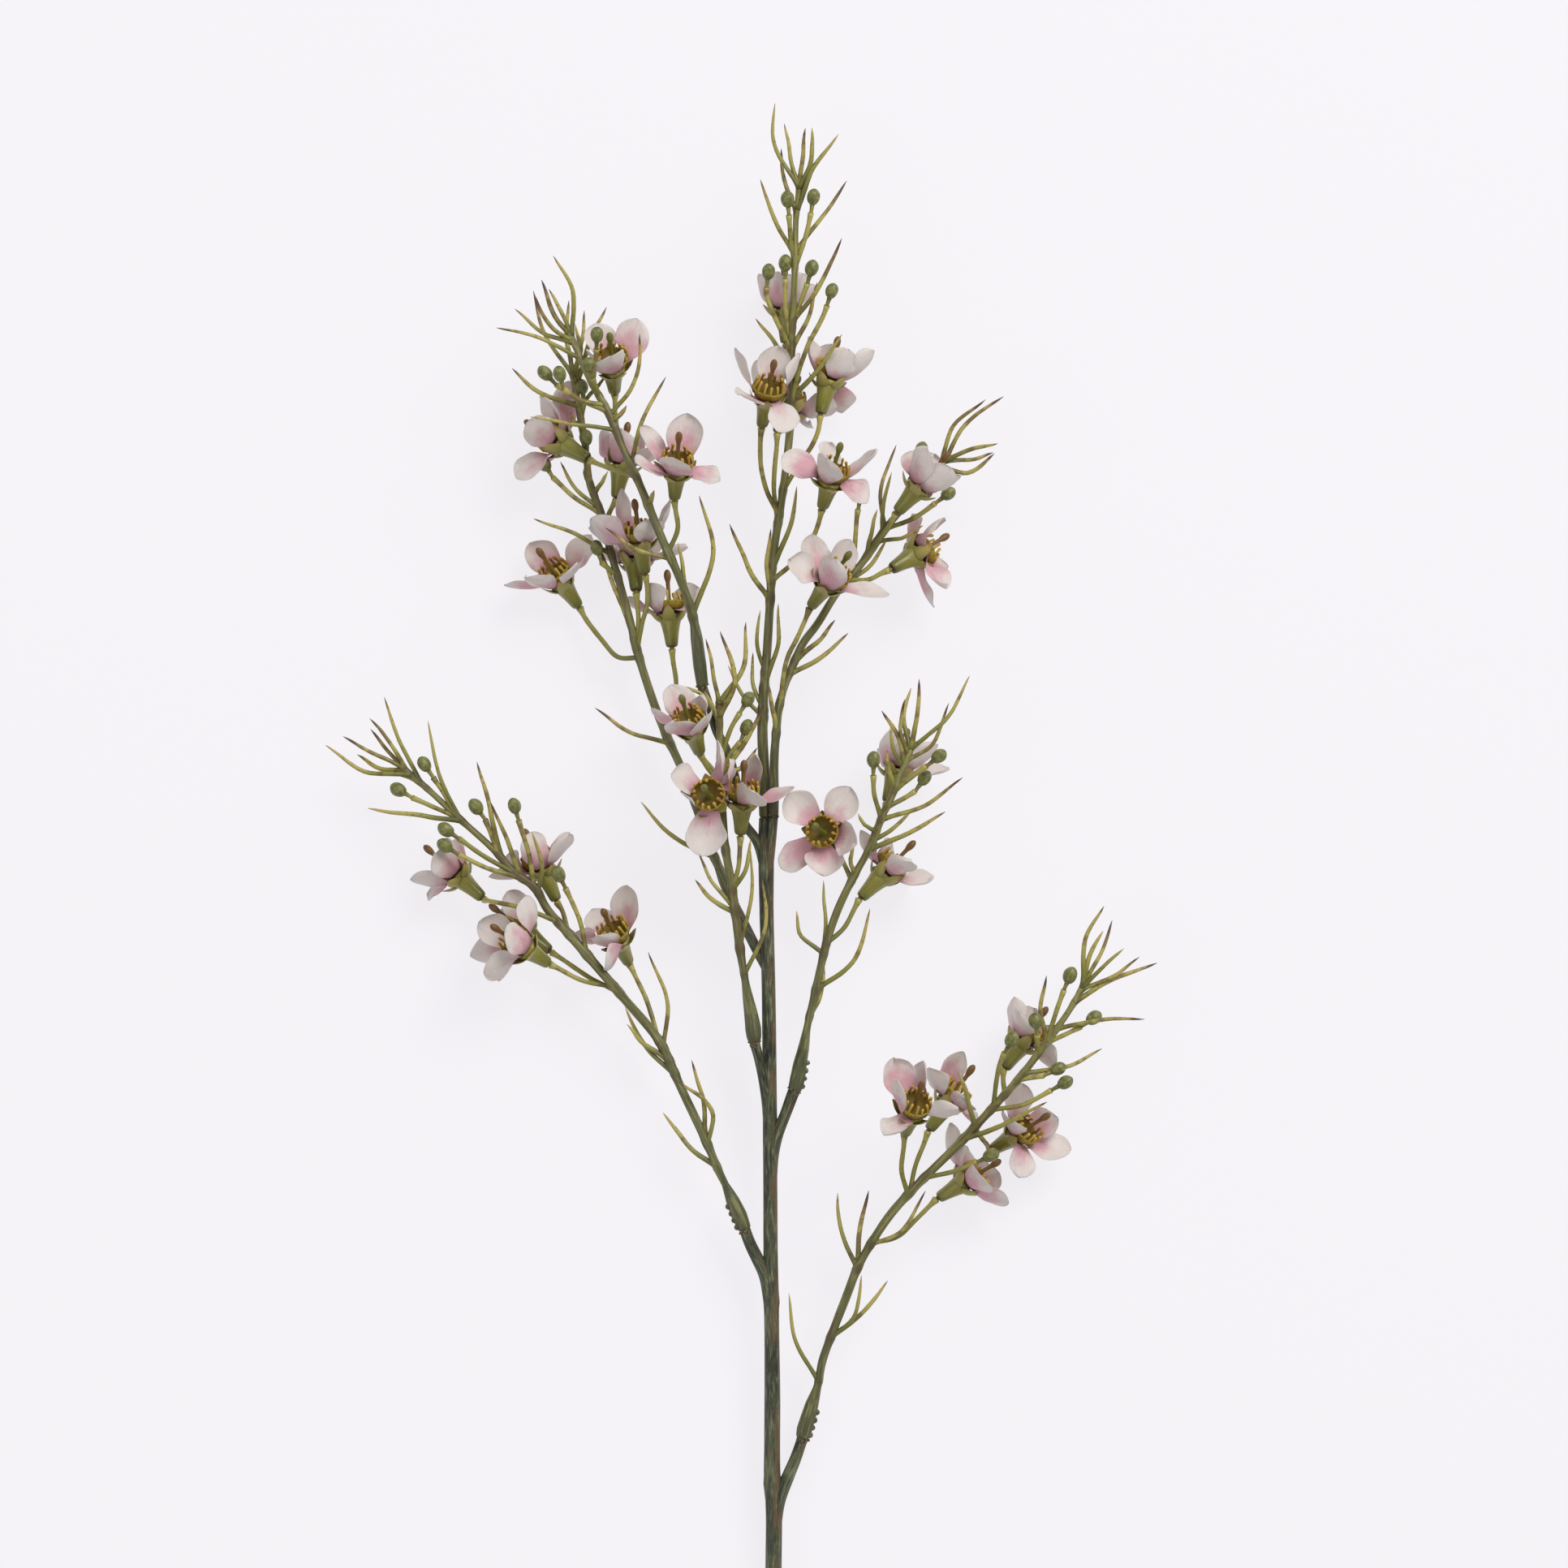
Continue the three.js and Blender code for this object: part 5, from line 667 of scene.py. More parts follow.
class Blade:
    """How a petal lies: its root, the chord to its tip, the way its width lies, and its curl."""

    def __init__(self, flower, azimuth, x, y, slope, seen, curl):
        self.root = flower.at(RING_RADIUS, azimuth, MOUTH)
        self.chord = tip_from(self.root, PETAL_LENGTH, x, y, slope) - self.root
        self.natural = np.cross(flower.axis, flower.outward(azimuth))
        self.half_width = max(PETAL_HALF_WIDTH, abs(seen))
        self.pointed = 1 - abs(seen) / self.half_width
        self.curl = math.radians(curl)
        heading = unit(self.chord)
        level = unit(np.array([-heading[1], heading[0], 0.0]))
        steep = np.cross(heading, level)
        roll = math.acos(abs(seen) / self.half_width)
        rolled = [math.copysign(1, seen) * (level * math.cos(angle) + steep * math.sin(angle))
                  for angle in (roll, -roll)]
        self.across = max(rolled, key=lambda way: way.dot(self.natural))

    def spine(self, share):
        """Along the petal: its middle line, the way its width lies, and the way its inner face looks."""
        twisted_by = 0.42
        length = np.linalg.norm(self.chord)
        heading = self.chord / length
        untwisted = unit(self.natural - heading * heading.dot(self.natural))
        twist = math.atan2(np.cross(untwisted, self.across).dot(heading), untwisted.dot(self.across))
        turned = twist * np.sin(np.minimum(1, share / twisted_by) * math.pi / 2)
        wide = untwisted * np.cos(turned) + np.cross(heading, untwisted) * np.sin(turned)
        inner = np.cross(heading, wide)
        sag = length * math.tan(self.curl / 2) / 4
        centre = self.root + self.chord * share - inner * (4 * sag * share * (1 - share))
        slope = 4 * sag / length * (2 * share - 1)
        return centre, wide, (inner - heading * slope) / np.sqrt(1 + slope ** 2)


# Petals keep outside this, (height, radius) round their flower's axis. Above its last height it fades, and
# it ends at FREE_HEIGHT.
GIRTH = [(10.8, 3.0), (11.2, 3.95), (12, 4.65), (13, 5.1), (13.9, 5.45), (16, 5.45), (17.5, 5.0)]
FREE_HEIGHT = 20.5


def round_the_cup(flower, blade, face):
    """Moves what would cut into the cup or its stamens outward, so that a petal passes round them."""
    away = face - flower.foot
    along = away.dot(flower.axis)
    height = along / flower.stretch
    radius = np.linalg.norm(away - along[..., None] * flower.axis, axis=-1)
    short = np.maximum(0, np.interp(height, *zip(*GIRTH), left=0) - radius)
    short *= np.interp(height, [GIRTH[-1][0], FREE_HEIGHT], [1, 0])
    out = blade.root - flower.foot
    return face + short[..., None] * unit(out - out.dot(flower.axis) * flower.axis)


def thin_lobe(skin, face, normal, thick, across, half, share, length, finish, tone):
    """Both sides of a thin petal or sepal, `thick` apart about its middle face."""
    lift = thick[..., None] / 2 * normal
    rings = np.concatenate([(face + lift)[:, ::-1], face - lift], axis=1)
    place = np.concatenate([across[:, ::-1], across], axis=1)
    skin.cover(rings, finish, (place * half, share * length, PARTS_APART * tone), (share, place, tone))


PETAL_STATIONS = [0, 0.05, 0.12, 0.2, 0.29, 0.38, 0.47, 0.56, 0.65, 0.74, 0.82, 0.89, 0.945, 0.98, 1.0]
PETAL_COLUMNS = 13
ROOT_WIDTH = 0.42


def petal(skin, flower, blade):
    """One thin petal, narrow at its root and round at its end, cupped and a little uneven."""
    share = np.array(PETAL_STATIONS)[:, None]
    centre, wide, normal = blade.spine(share)

    # Its half-width: narrow at the root, broadest about half-way, and round or pointed at the end.
    broadest = chance.uniform(0.5, 0.58)
    narrow = np.clip(share / broadest, 0, 1)
    rounded = np.clip((share - broadest) / (1 - broadest), 0, 1)
    half = ROOT_WIDTH + (1 - ROOT_WIDTH) * np.sin(narrow * math.pi / 2) ** 1.25
    keen = 0.5 + 0.3 * blade.pointed + chance.uniform(0, 0.2)
    half = np.where(share > broadest, np.maximum(0, 1 - rounded ** chance.uniform(2.1, 2.7)) ** keen, half)
    half = np.maximum(half * blade.half_width * chance.uniform(0.95, 1.04), 0.05)
    wide_share = half / PETAL_HALF_WIDTH

    # How far its face lifts off the flat: a cup, a folded side, a side turned in, and ruffled edges.
    across = np.sin(np.linspace(-1, 1, PETAL_COLUMNS) * math.pi / 2)[None, :]
    cupping = chance.uniform(0.9, 2.1) * wide_share ** 2
    fold = chance.uniform(-0.8, 1.4) * wide_share
    turned_in = chance.uniform(-0.6, 1.8) * share ** 2
    ruffle = 0.28 * np.sin(share * chance.uniform(7, 12) + across * 2 + chance.uniform(0, 6))
    lift = cupping * across ** 2 + fold * np.maximum(0, across) ** 3 + ruffle * np.abs(across) ** 3 * half / 5
    lift += turned_in * np.maximum(0, -across) ** 4
    lift += 0.12 * np.sin(across * 9 + chance.uniform(0, 6)) * share

    # How far it reaches to each side, with uneven edges.
    skew = chance.uniform(-1.1, 1.1) * share ** 2
    edges = [half * (1 + chance.uniform(0.01, 0.06) * np.sin(share * chance.uniform(5, 14) + any_phase()))
             for _ in range(2)]
    reach = across * np.where(across < 0, *edges) + skew

    face = centre[:, None] + reach[..., None] * wide[:, None] + lift[..., None] * normal[:, None]
    thick = 0.12 + 0.22 * (1 - across ** 2) * np.minimum(1, (1 - share) * 5)
    tone = chance.random() * (1 - flower.blush) + flower.blush
    thin_lobe(skin, round_the_cup(flower, blade, face), normal[:, None], thick, across, half, share,
              np.linalg.norm(blade.chord), "petal", tone)


def sepal(skin, flower, azimuth, reach, height, half_width):
    """Short pointed lobe from below the calyx's rim, its middle bowed down."""
    root_reach, root_height, bow, length = 2.85, 8.1, 0.3, 5
    share = np.array([0, 0.12, 0.28, 0.46, 0.64, 0.8, 0.92, 1.0])
    centre = flower.at(root_reach + (reach - root_reach) * share, azimuth,
                       root_height + (height - root_height) * share ** 1.4 - bow * np.sin(share * math.pi))
    around = np.cross(flower.axis, flower.outward(azimuth))
    half = half_width * np.interp(share, [0, 0.28, 0.64, 0.86, 1], [0.95, 1, 0.78, 0.42, 0.06])[:, None]
    share = share[:, None]
    across = np.linspace(-1, 1, 7)[None, :]
    lift = 0.35 * across ** 2 * half
    face = centre[:, None] + (across * half)[..., None] * around + lift[..., None] * flower.axis
    thick = 0.08 + 0.55 * (1 - across ** 2) * np.minimum(1, (1.06 - share) * 3)
    thin_lobe(skin, face, flower.axis, thick, across, half, share, length, "sepal", chance.random())


# ---- turned parts of a flower: (height, radius) ----
RIB_DEPTH, FLUTE_DEPTH, FLUTES_FADE = 0.022, 0.028, 1.5
NECK = [(-1.0, 0.75), (-0.6, 0.8), (0, 0.8), (0.5, 0.8)]
CALYX = [
    (0, 1.2), (0.12, 1.45), (0.5, 1.7), (1.2, 1.87), (2.4, 2.02), (3.8, 2.2), (5.2, 2.42), (6.6, 2.7),
    (7.8, 3.02), (8.8, 3.35), (9.5, 3.6), (9.9, 3.62), (10.2, 3.4), (10.45, 2.95), (10.7, 2.4),
]
CUP = [
    (10.5, 1.9), (10.8, 3.0), (11.2, 3.8), (12.0, 4.4), (13.0, 4.8), (13.9, 5.1), (14.3, 5.1), (14.4, 4.9),
    (14.1, 4.6), (13.4, 4.25), (12.6, 3.7), (12.0, 2.8), (11.7, 1.7), (11.6, 0.7),
]
# Shares of a stamen's length, and its radii there.
STAMEN_STATIONS = np.array([0, 0.3, 0.6, 0.78, 0.9, 1.0])
STAMEN_RADII = np.array([0.5, 0.4, 0.39, 0.52, 0.5, 0.22])
STYLE = [
    (11.4, 1.3), (11.9, 0.95), (12.8, 0.75), (15, 0.66), (18.5, 0.62), (20.4, 0.68), (21.2, 0.92),
    (22.0, 1.12), (23.0, 1.12), (23.8, 0.88), (24.3, 0.46), (24.45, 0.12),
]


def turned_part(skin, flower, profile, sides, finish, fluting=None):
    """Turned form round the flower's axis; fluting gives the share added at each angle and height."""
    height, radius = np.array(profile, float).T[:, :, None]
    angle = TURN * np.arange(sides)[None, :] / sides
    if fluting:
        radius = radius * (1 + fluting(angle, height))
    tone = chance.random()
    level = (height - height.min()) / (height.max() - height.min())
    step = np.linspace(0, 1, len(profile))[:, None]
    grain = radius * np.cos(angle), radius * np.sin(angle), height + PARTS_APART * tone
    skin.cover(flower.at(radius, angle, height), finish, grain, (level, step, tone))


def stamens(skin, flower):
    """Short filaments with club ends, standing round the rim of the cup."""
    rim_radius, rim_height = 4.85, 13.6
    start = chance.uniform(0, 1)
    for k in range(STAMENS):
        azimuth = TURN * (k + start + chance.uniform(-0.12, 0.12)) / STAMENS
        tall = chance.uniform(2.8, 4.2)
        lean = chance.uniform(-1.5, -0.2)
        sideways = chance.uniform(-0.07, 0.07)
        share = STAMEN_STATIONS
        path = flower.at(rim_radius + lean * share ** 2, azimuth + sideways * share,
                         rim_height + tall * share / flower.stretch)
        radii = STAMEN_RADII * chance.uniform(0.92, 1.1)
        tube(skin, path, radii, SLIM_SIDES, "stamen", chance.random())


def flower_body(skin, stem, flower):
    """Stalk, calyx with five sepals, cup, stamens and style."""
    stalk_end, too_near = 0.7, 2.2
    path = stalk_path(stem, flower.foot - stalk_end * flower.axis, flower.route)
    if len(path) > 2 and np.linalg.norm(path[-1] - path[-2]) < too_near:
        path.pop(-2)
    stalk(skin, path, 1.3)
    turned_part(skin, flower, NECK, 12, "neck")
    ribs = any_phase()
    girth = chance.uniform(0.96, 1.07)
    bell = [(height, radius * girth) for height, radius in CALYX]
    turned_part(skin, flower, bell, 30, "calyx",
                lambda angle, height: RIB_DEPTH * np.cos(PETALS * angle + ribs))
    rise = chance.uniform(0.6, 3.2)
    for k in range(PETALS):
        azimuth = flower.turn + TURN * (k + 0.5) / PETALS
        reach = (SEPAL_REACH - 0.25 * rise) * chance.uniform(0.92, 1.08)
        height = SEPAL_HEIGHT + rise + chance.uniform(-0.4, 0.4)
        sepal(skin, flower, azimuth, reach, height, chance.uniform(2.0, 2.4))
    turned_part(skin, flower, CUP, 2 * CUP_FLUTES, "cup", lambda angle, height: (
        FLUTE_DEPTH * np.cos(CUP_FLUTES * angle) * np.clip((height - MOUTH) / FLUTES_FADE, 0, 1)))
    stamens(skin, flower)
    turned_part(skin, flower, STYLE, 14, flower.style + "_style")


# ---- stems ----
STEM_WAVES = [[1, 0.05], [2, 0.11], [3, -0.07], [5, 0.09], [7, -0.05], [11, 0.03]]
TWIG_WAVES = [[1, 0.12], [2, 0.2], [3, -0.16], [5, 0.1]]
SLEEVE_MARK = -0.3
NECK_SHARE, PEG_SHARE = 0.87, 0.86
KNOT_REACH, KNOT_SWELL = 1.5, 0.2
# Steps along a bar from its rounded end, and the shares of its radius there.
END_STEPS, END_SHARES = (0, 0.12, 0.4), np.array([0.78, 0.92, 0.99])
NUB_PLACES = (1.7, 4.2, 6.7, 9.3)
NUB_REACHES, NUB_RADII = (1.2, 2.1, 2.5, 2.8, 2.95), np.array([1.05, 0.95, 0.8, 0.5, 0.14])
FLAKES = 5
FLAKE_REACHES, FLAKE_RADII = (0, 0.35, 0.6, 0.8), np.array([0.9, 1.0, 0.7, 0.2])
PEG_PLACES, PEG_RADII = (-1.6, -1.0, 0.3, 1.2), np.array([0.9, 1, 1, 0.9])


def bar(skin, axis, sides, finish, relief, spacing, sleeve=0, joints=()):
    """Bar along a table of points and radii, swollen at its joints. Its first end is rounded over, and the
    sleeve is marked below 0."""
    table = np.array(axis, float)
    path, stations, runs = smooth_curve(table[:, :3], spacing)
    radii = np.interp(stations, runs, table[:, 3])
    ahead = unit(path[1] - path[0])
    path = np.concatenate([[path[0] + step * ahead for step in END_STEPS], path[1:]])
    radii = np.concatenate([radii[0] * END_SHARES, radii[1:]])
    run = runs_along(path)
    knots = np.zeros(len(path))
    for place in joints:
        knots = np.maximum(knots, np.exp(-(np.linalg.norm(path - place, axis=1) / KNOT_REACH) ** 2))
    tube(skin, path, radii * (1 + KNOT_SWELL * knots), sides, finish, chance.random(), relief,
         np.where(run < sleeve, SLEEVE_MARK, run / run[-1]), knots)


def torn_collar(skin, centre, along, radius):
    """Torn flakes round a joint, where the sleeve was pushed on."""
    side = unit(np.cross(along, UP))
    across = np.cross(along, side)
    for _ in range(FLAKES):
        angle = chance.uniform(0, TURN)
        way = side * math.cos(angle) + across * math.sin(angle)
        start = centre + along * chance.uniform(-0.5, 0.5) + way * (radius - 0.5)
        path = [start + (way + along * chance.uniform(-0.5, 0.2)) * reach for reach in FLAKE_REACHES]
        radii = FLAKE_RADII * chance.uniform(0.3, 0.55)
        tube(skin, path, radii, SLIM_SIDES, "butt", chance.random())


def main_stem():
    """The bar with its arms, and a torn peg in each sprig's foot."""
    skin = Skin()
    bar(skin, MAIN_AXIS, 40, "main", lumps(0.03, STEM_WAVES), 1.5)
    for stub in STUBS:
        bar(skin, stub, 24, "main", lumps(0.04, TWIG_WAVES), 1.0)
    for row in SPRIGS:
        foot, ahead = np.array(row["stem"][:2], float)
        start, radius = foot[:3], foot[3]
        along = unit(ahead[:3] - start)
        peg = [start + along * distance for distance in PEG_PLACES]
        tube(skin, peg, PEG_SHARE * radius * PEG_RADII, 20, "butt", chance.random())
        torn_collar(skin, start, along, radius)
    return skin


def sleeve_nubs(skin, stem, side):
    """Round moulding nubs down one side of a sleeve."""
    along = unit(np.array(stem[2][:3]) - np.array(stem[0][:3]))
    outward = np.array([-along[1] * side, along[0] * side, 0])
    for distance in NUB_PLACES:
        centre = on_axis(stem, stem[0][0], stem[0][1] + distance)
        path = [centre + outward * reach for reach in NUB_REACHES]
        radii = NUB_RADII * chance.uniform(0.85, 1.1)
        tube(skin, path, radii, 12, "twig", chance.random(), shares=[SLEEVE_MARK] * len(path))


def sleeve_length(stem):
    """How far the thick sleeve at a sprig's foot reaches, to its neck."""
    radii = [each[3] for each in stem[:6]]
    widest = int(np.argmax(radii))
    neck = next((i for i in range(widest, len(radii)) if radii[i] < NECK_SHARE * radii[widest]), widest)
    return runs_along(np.array(stem, float)[:, :3])[neck]


def sprig(row, flowers):
    """One moulded sprig: its stem and sleeve, needles, buds and the bodies of its flowers."""
    skin = Skin()
    stem = row["stem"]
    roots = [each[:2] for each in row["needles"]] + [each[-2:] for each in row["buds"]]
    roots += [each.route[-1][:2] for each in flowers]
    bar(skin, stem, 20, "twig", lumps(0.055, TWIG_WAVES), 1.0, sleeve_length(stem),
        [on_axis(stem, *each) for each in roots])
    if "nubs" in row:
        sleeve_nubs(skin, stem, row["nubs"])
    for make, rows in ((needle, row["needles"]), (bud, row["buds"]), (flower_body, flowers)):
        for each in rows:
            make(skin, stem, each)
    return skin


# ---- finishes ----
def colour(code):
    """Linear colour from a hex code."""
    parts = [int(code[i:i + 2], 16) / 255 for i in (1, 3, 5)]
    return *(part / 12.92 if part <= 0.04045 else ((part + 0.055) / 1.055) ** 2.4 for part in parts), 1.0


class Value:
    """One socket in a finish. An expression on it adds its Math nodes."""

    def __init__(self, finish, socket):
        self.finish, self.socket = finish, socket

    def maths(self, operation, *terms):
        return self.finish.node("ShaderNodeMath", {"operation": operation}, dict(enumerate(terms)))

    def other(self, name):
        """Another output of the same node."""
        return Value(self.finish, self.socket.node.outputs[name])

    def __add__(self, term):
        return self.maths("ADD", self, term)

    def __sub__(self, term):
        return self.maths("SUBTRACT", self, term)

    def __rsub__(self, term):
        return self.maths("SUBTRACT", term, self)

    def __mul__(self, term):
        return self.maths("MULTIPLY", self, term)

    def __abs__(self):
        return self.maths("ABSOLUTE", self)

    __radd__ = __add__
    __rmul__ = __mul__


class Finish:
    """A procedural material, built on one Principled surface. A colour is given as a hex code."""

    def __init__(self, name):
        self.material = bpy.data.materials.new(name)
        self.material.use_nodes = True
        self.tree = self.material.node_tree
        self.grain = self.node("ShaderNodeAttribute", {"attribute_name": "grain"}, output="Vector")
        mark = self.node("ShaderNodeAttribute", {"attribute_name": "mark"}, output="Vector")
        self.along = self.node("ShaderNodeSeparateXYZ", inputs={0: mark})
        self.across, self.tone = self.along.other("Y"), self.along.other("Z")

    def node(self, kind, settings=None, inputs=None, output=0):
        """Any node: its settings, then the values or links of its sockets. Gives the named output."""
        made = self.tree.nodes.new(kind)
        for name, setting in (settings or {}).items():
            if name == "stops":
                self.set_stops(made.color_ramp.elements, setting)
            else:
                setattr(made, name, setting)
        for name, given in (inputs or {}).items():
            self.feed(made.inputs[name], given)
        return Value(self, made.outputs[output])

    def feed(self, socket, given):
        if isinstance(given, Value):
            self.tree.links.new(given.socket, socket)
        else:
            socket.default_value = colour(given) if isinstance(given, str) else given

    @staticmethod
    def set_stops(elements, stops):
        for place, code in stops[2:]:
            elements.new(place)
        for element, (place, code) in zip(elements, stops):
            element.position = place
            element.color = colour(code)

    def noise(self, size, stretch=(1, 1, 1), detail=3):
        """Noise whose patches are about `size` millimetres across."""
        place = self.node("ShaderNodeVectorMath", {"operation": "MULTIPLY"}, {0: self.grain, 1: stretch})
        return self.node("ShaderNodeTexNoise", {}, {"Vector": place, "Scale": 1 / size, "Detail": detail})

    def between(self, value, low, high):
        """0 below low, 1 above high, and a smooth step between them."""
        return self.node("ShaderNodeMapRange", {"interpolation_type": "SMOOTHSTEP"},
                         {"Value": value, "From Min": low, "From Max": high})

    def ramp(self, value, stops):
        return self.node("ShaderNodeValToRGB", {"stops": stops}, {0: value})

    def tint(self, base, share, second):
        """The base with a share of a second colour."""
        return self.node("ShaderNodeMix", {"data_type": "RGBA"}, {0: share, 6: base, 7: second}, 2)

    def surface(self, base, roughness, relief=None, depth=0, **given):
        """Sets the sockets of the Principled surface; an underscore in a name stands for a space."""
        if relief:
            given["Normal"] = self.node("ShaderNodeBump", {}, {
                "Strength": 1.0, "Distance": depth * MM, "Height": relief})
        shader = self.tree.nodes["Principled BSDF"]
        for name, value in {"Base Color": base, "Roughness": roughness, **given}.items():
            self.feed(shader.inputs[name.replace("_", " ")], value)
        return self.material


def main_stem_finish():
    """Dark grey-green rind of short fibres and cross ripples, blotched brown, most on its right side."""
    finish = Finish("grained_grey_green_stem")
    fibres = finish.noise(0.55, (1, 1, 0.14))
    streaks = finish.noise(1.1, (1, 1, 0.12))
    ripples = finish.noise(0.8, (0.25, 0.25, 1))
    lengths = finish.noise(24, (0.1, 0.1, 1), 1)
    base = finish.ramp(streaks * 0.5 + fibres * 0.5 + (lengths - 0.5) * 0.35, [
        (0.36, "#20231a"), (0.45, "#383e2c"), (0.53, "#4d533b"), (0.64, "#6b7150")])
    right = finish.node("ShaderNodeSeparateXYZ", inputs={0: finish.grain}, output="Y")
    brown = right * 0.07 + finish.noise(1.5, (1, 1, 0.13)) + (lengths - 0.5) * 0.35
    base = finish.tint(base, finish.between(brown, 0.52, 0.68) * (0.45 + fibres * 0.5), "#6b5238")
    pale = finish.between(fibres + (streaks - 0.5) * 0.4, 0.58, 0.7)
    base = finish.tint(base, pale * 0.4, "#8f9274")
    return finish.surface(base, 0.5 + (fibres - 0.5) * 0.25, streaks + fibres * 0.8 + ripples * 0.35, 0.4)


def butt_finish():
    """Torn brown rind with shiny spots of old adhesive, whose glints are painted in as pale colour."""
    finish = Finish("torn_brown_joint")
    mottle = finish.noise(0.6)
    base = finish.ramp(mottle, [(0.35, "#34291c"), (0.5, "#58452f"), (0.65, "#7a6a4c")])
    # Painted highlight: the pale spots stand in for glints on the glue; the lower roughness there is the
    # glue's own shine.
    glue_and_painted_glint = finish.between(finish.noise(0.45), 0.6, 0.68)
    base = finish.tint(base, glue_and_painted_glint * 0.6, "#b9b3a0")
    return finish.surface(base, 0.55 - glue_and_painted_glint * 0.35, mottle, 0.3)


def twig_finish():
    """Olive twig with lengthwise ridges, browner at its joints; its sleeve is darker and smoother."""
    finish = Finish("grey_green_twig")
    streaks = finish.noise(0.8, (1, 1, 0.08))
    fine = finish.noise(0.3, (1, 1, 0.1))
    patches = finish.noise(8, (1, 1, 0.4))
    length = finish.along + (patches - 0.5) * 0.5
    sleeve = finish.between(finish.along, 0.0, -0.1)
    base = finish.ramp(length, [(0.0, "#5f613a"), (0.25, "#66663d"), (0.7, "#787541"), (1.0, "#8d874e")])
    base = finish.tint(base, sleeve * 0.8, "#4e5236")
    base = finish.tint(base, finish.between(streaks, 0.5, 0.68) * 0.55, "#9a9560")
    base = finish.tint(base, finish.between(streaks, 0.5, 0.32) * 0.55, "#373822")
    brown = finish.noise(2.4, (1, 1, 0.1)) + (patches - 0.5) * 0.5 + finish.across * 0.12
    base = finish.tint(base, finish.between(brown, 0.54, 0.68) * (0.65 - sleeve * 0.3), "#54402c")
    specks = finish.between(finish.noise(0.7, (1, 1, 0.5)), 0.63, 0.7)
    base = finish.tint(base, specks * (0.6 - sleeve * 0.3), "#43351f")
    return finish.surface(base, 0.45 + (fine - 0.5) * 0.2, streaks + fine * 0.5, 0.2)


def needle_finish():
    finish = Finish("speckled_needle_green")
    patches = finish.noise(4, (1, 1, 0.4))
    length = finish.along + (patches - 0.5) * 0.4 + (finish.tone - 0.5) * 0.4
    base = finish.ramp(length, [
        (0.0, "#6a6a33"), (0.25, "#898540"), (0.55, "#ada459"), (0.85, "#b6a45f"), (1.0, "#9c8352")])
    tip = finish.between(finish.along + (patches - 0.5) * 0.3 + (finish.tone - 0.5) * 0.24, 0.86, 0.98)
    bands = finish.between(finish.noise(7, (0.25, 0.25, 1), 2) + (finish.tone - 0.5) * 0.2, 0.52, 0.63)
    specks = finish.between(finish.noise(0.8, (1, 1, 0.6)), 0.61, 0.67)
    for share, code in ((bands * 0.65, "#59432a"), (specks * 0.6, "#4f3b22"), (tip * 0.85, "#4f3828")):
        base = finish.tint(base, share, code)
    fine = finish.noise(0.4, (1, 1, 0.15))
    return finish.surface(base, 0.42 + (fine - 0.5) * 0.2, fine + patches * 0.5, 0.1)


def bud_finish():
    finish = Finish("mottled_bud_green")
    mottle = finish.noise(1.2)
    base = finish.ramp(mottle, [(0.3, "#575a2c"), (0.5, "#72743d"), (0.7, "#8c8c55")])
    crown = finish.between(finish.along + (mottle - 0.5) * 0.14, 0.92, 0.99)
    base = finish.tint(base, crown * finish.between(finish.tone, 0.35, 0.6) * 0.7, "#43331f")
    fine = finish.noise(0.4)
    return finish.surface(base, 0.38 + (fine - 0.5) * 0.2, fine, 0.12)


def calyx_finish():
    finish = Finish("glossy_calyx_green")
    streaks = finish.noise(1.6, (1, 1, 0.2))
    fine = finish.noise(0.35, (1, 1, 0.3))
    base = finish.ramp(finish.along + (streaks - 0.5) * 0.5, [
        (0.0, "#5c5d26"), (0.2, "#747230"), (0.6, "#868139"), (1.0, "#9c944b")])
    base = finish.tint(base, finish.between(streaks, 0.5, 0.7) * 0.45, "#96914c")
    base = finish.tint(base, finish.between(finish.along, 0.06, 0.0) * 0.8, "#33291a")
    return finish.surface(base, 0.27 + (streaks - 0.5) * 0.2, streaks + fine * 0.4, 0.1)


def sepal_finish():
    finish = Finish("olive_gold_sepal")
    streaks = finish.noise(0.9, (1, 0.25, 1))
    base = finish.ramp(finish.along + (streaks - 0.5) * 0.4, [
        (0.0, "#827f3a"), (0.5, "#989049"), (0.85, "#a89858"), (1.0, "#84653a")])
    edge = finish.between(abs(finish.across) + (streaks - 0.5) * 0.4, 0.8, 1.0)
    base = finish.tint(base, edge * 0.4, "#7d6234")
    return finish.surface(base, 0.4 + (streaks - 0.5) * 0.1, streaks, 0.12)


def cup_finish():
    """Gold outside, brown at its foot, dark inside."""
    finish = Finish("gold_cup")
    streaks = finish.noise(0.7, (1, 1, 0.3))
    base = finish.ramp(finish.across + (streaks - 0.5) * 0.08, [
        (0.0, "#3a2417"), (0.16, "#4c301c"), (0.3, "#97802c"), (0.5, "#ab9432"), (0.58, "#937728"),
        (0.7, "#75601f"), (1.0, "#5e521c")])
    base = finish.tint(base, finish.between(finish.noise(3.5), 0.5, 0.7) * 0.5, "#7d4e1d")
    return finish.surface(base, 0.62 + (streaks - 0.5) * 0.2, streaks, 0.12, Specular_IOR_Level=0.35)


def stamen_finish():
    finish = Finish("gold_stamen")
    mottle = finish.noise(0.6)
    base = finish.ramp(finish.along + (mottle - 0.5) * 0.3, [
        (0.0, "#988429"), (0.55, "#b39634"), (1.0, "#c09a3c")])
    orange = finish.between(finish.tone + (finish.along + mottle - 1.4) * 0.5, 0.55, 0.85)
    base = finish.tint(base, orange * 0.75, "#96561a")
    return finish.surface(base, 0.4 + (mottle - 0.5) * 0.2, mottle, 0.08)


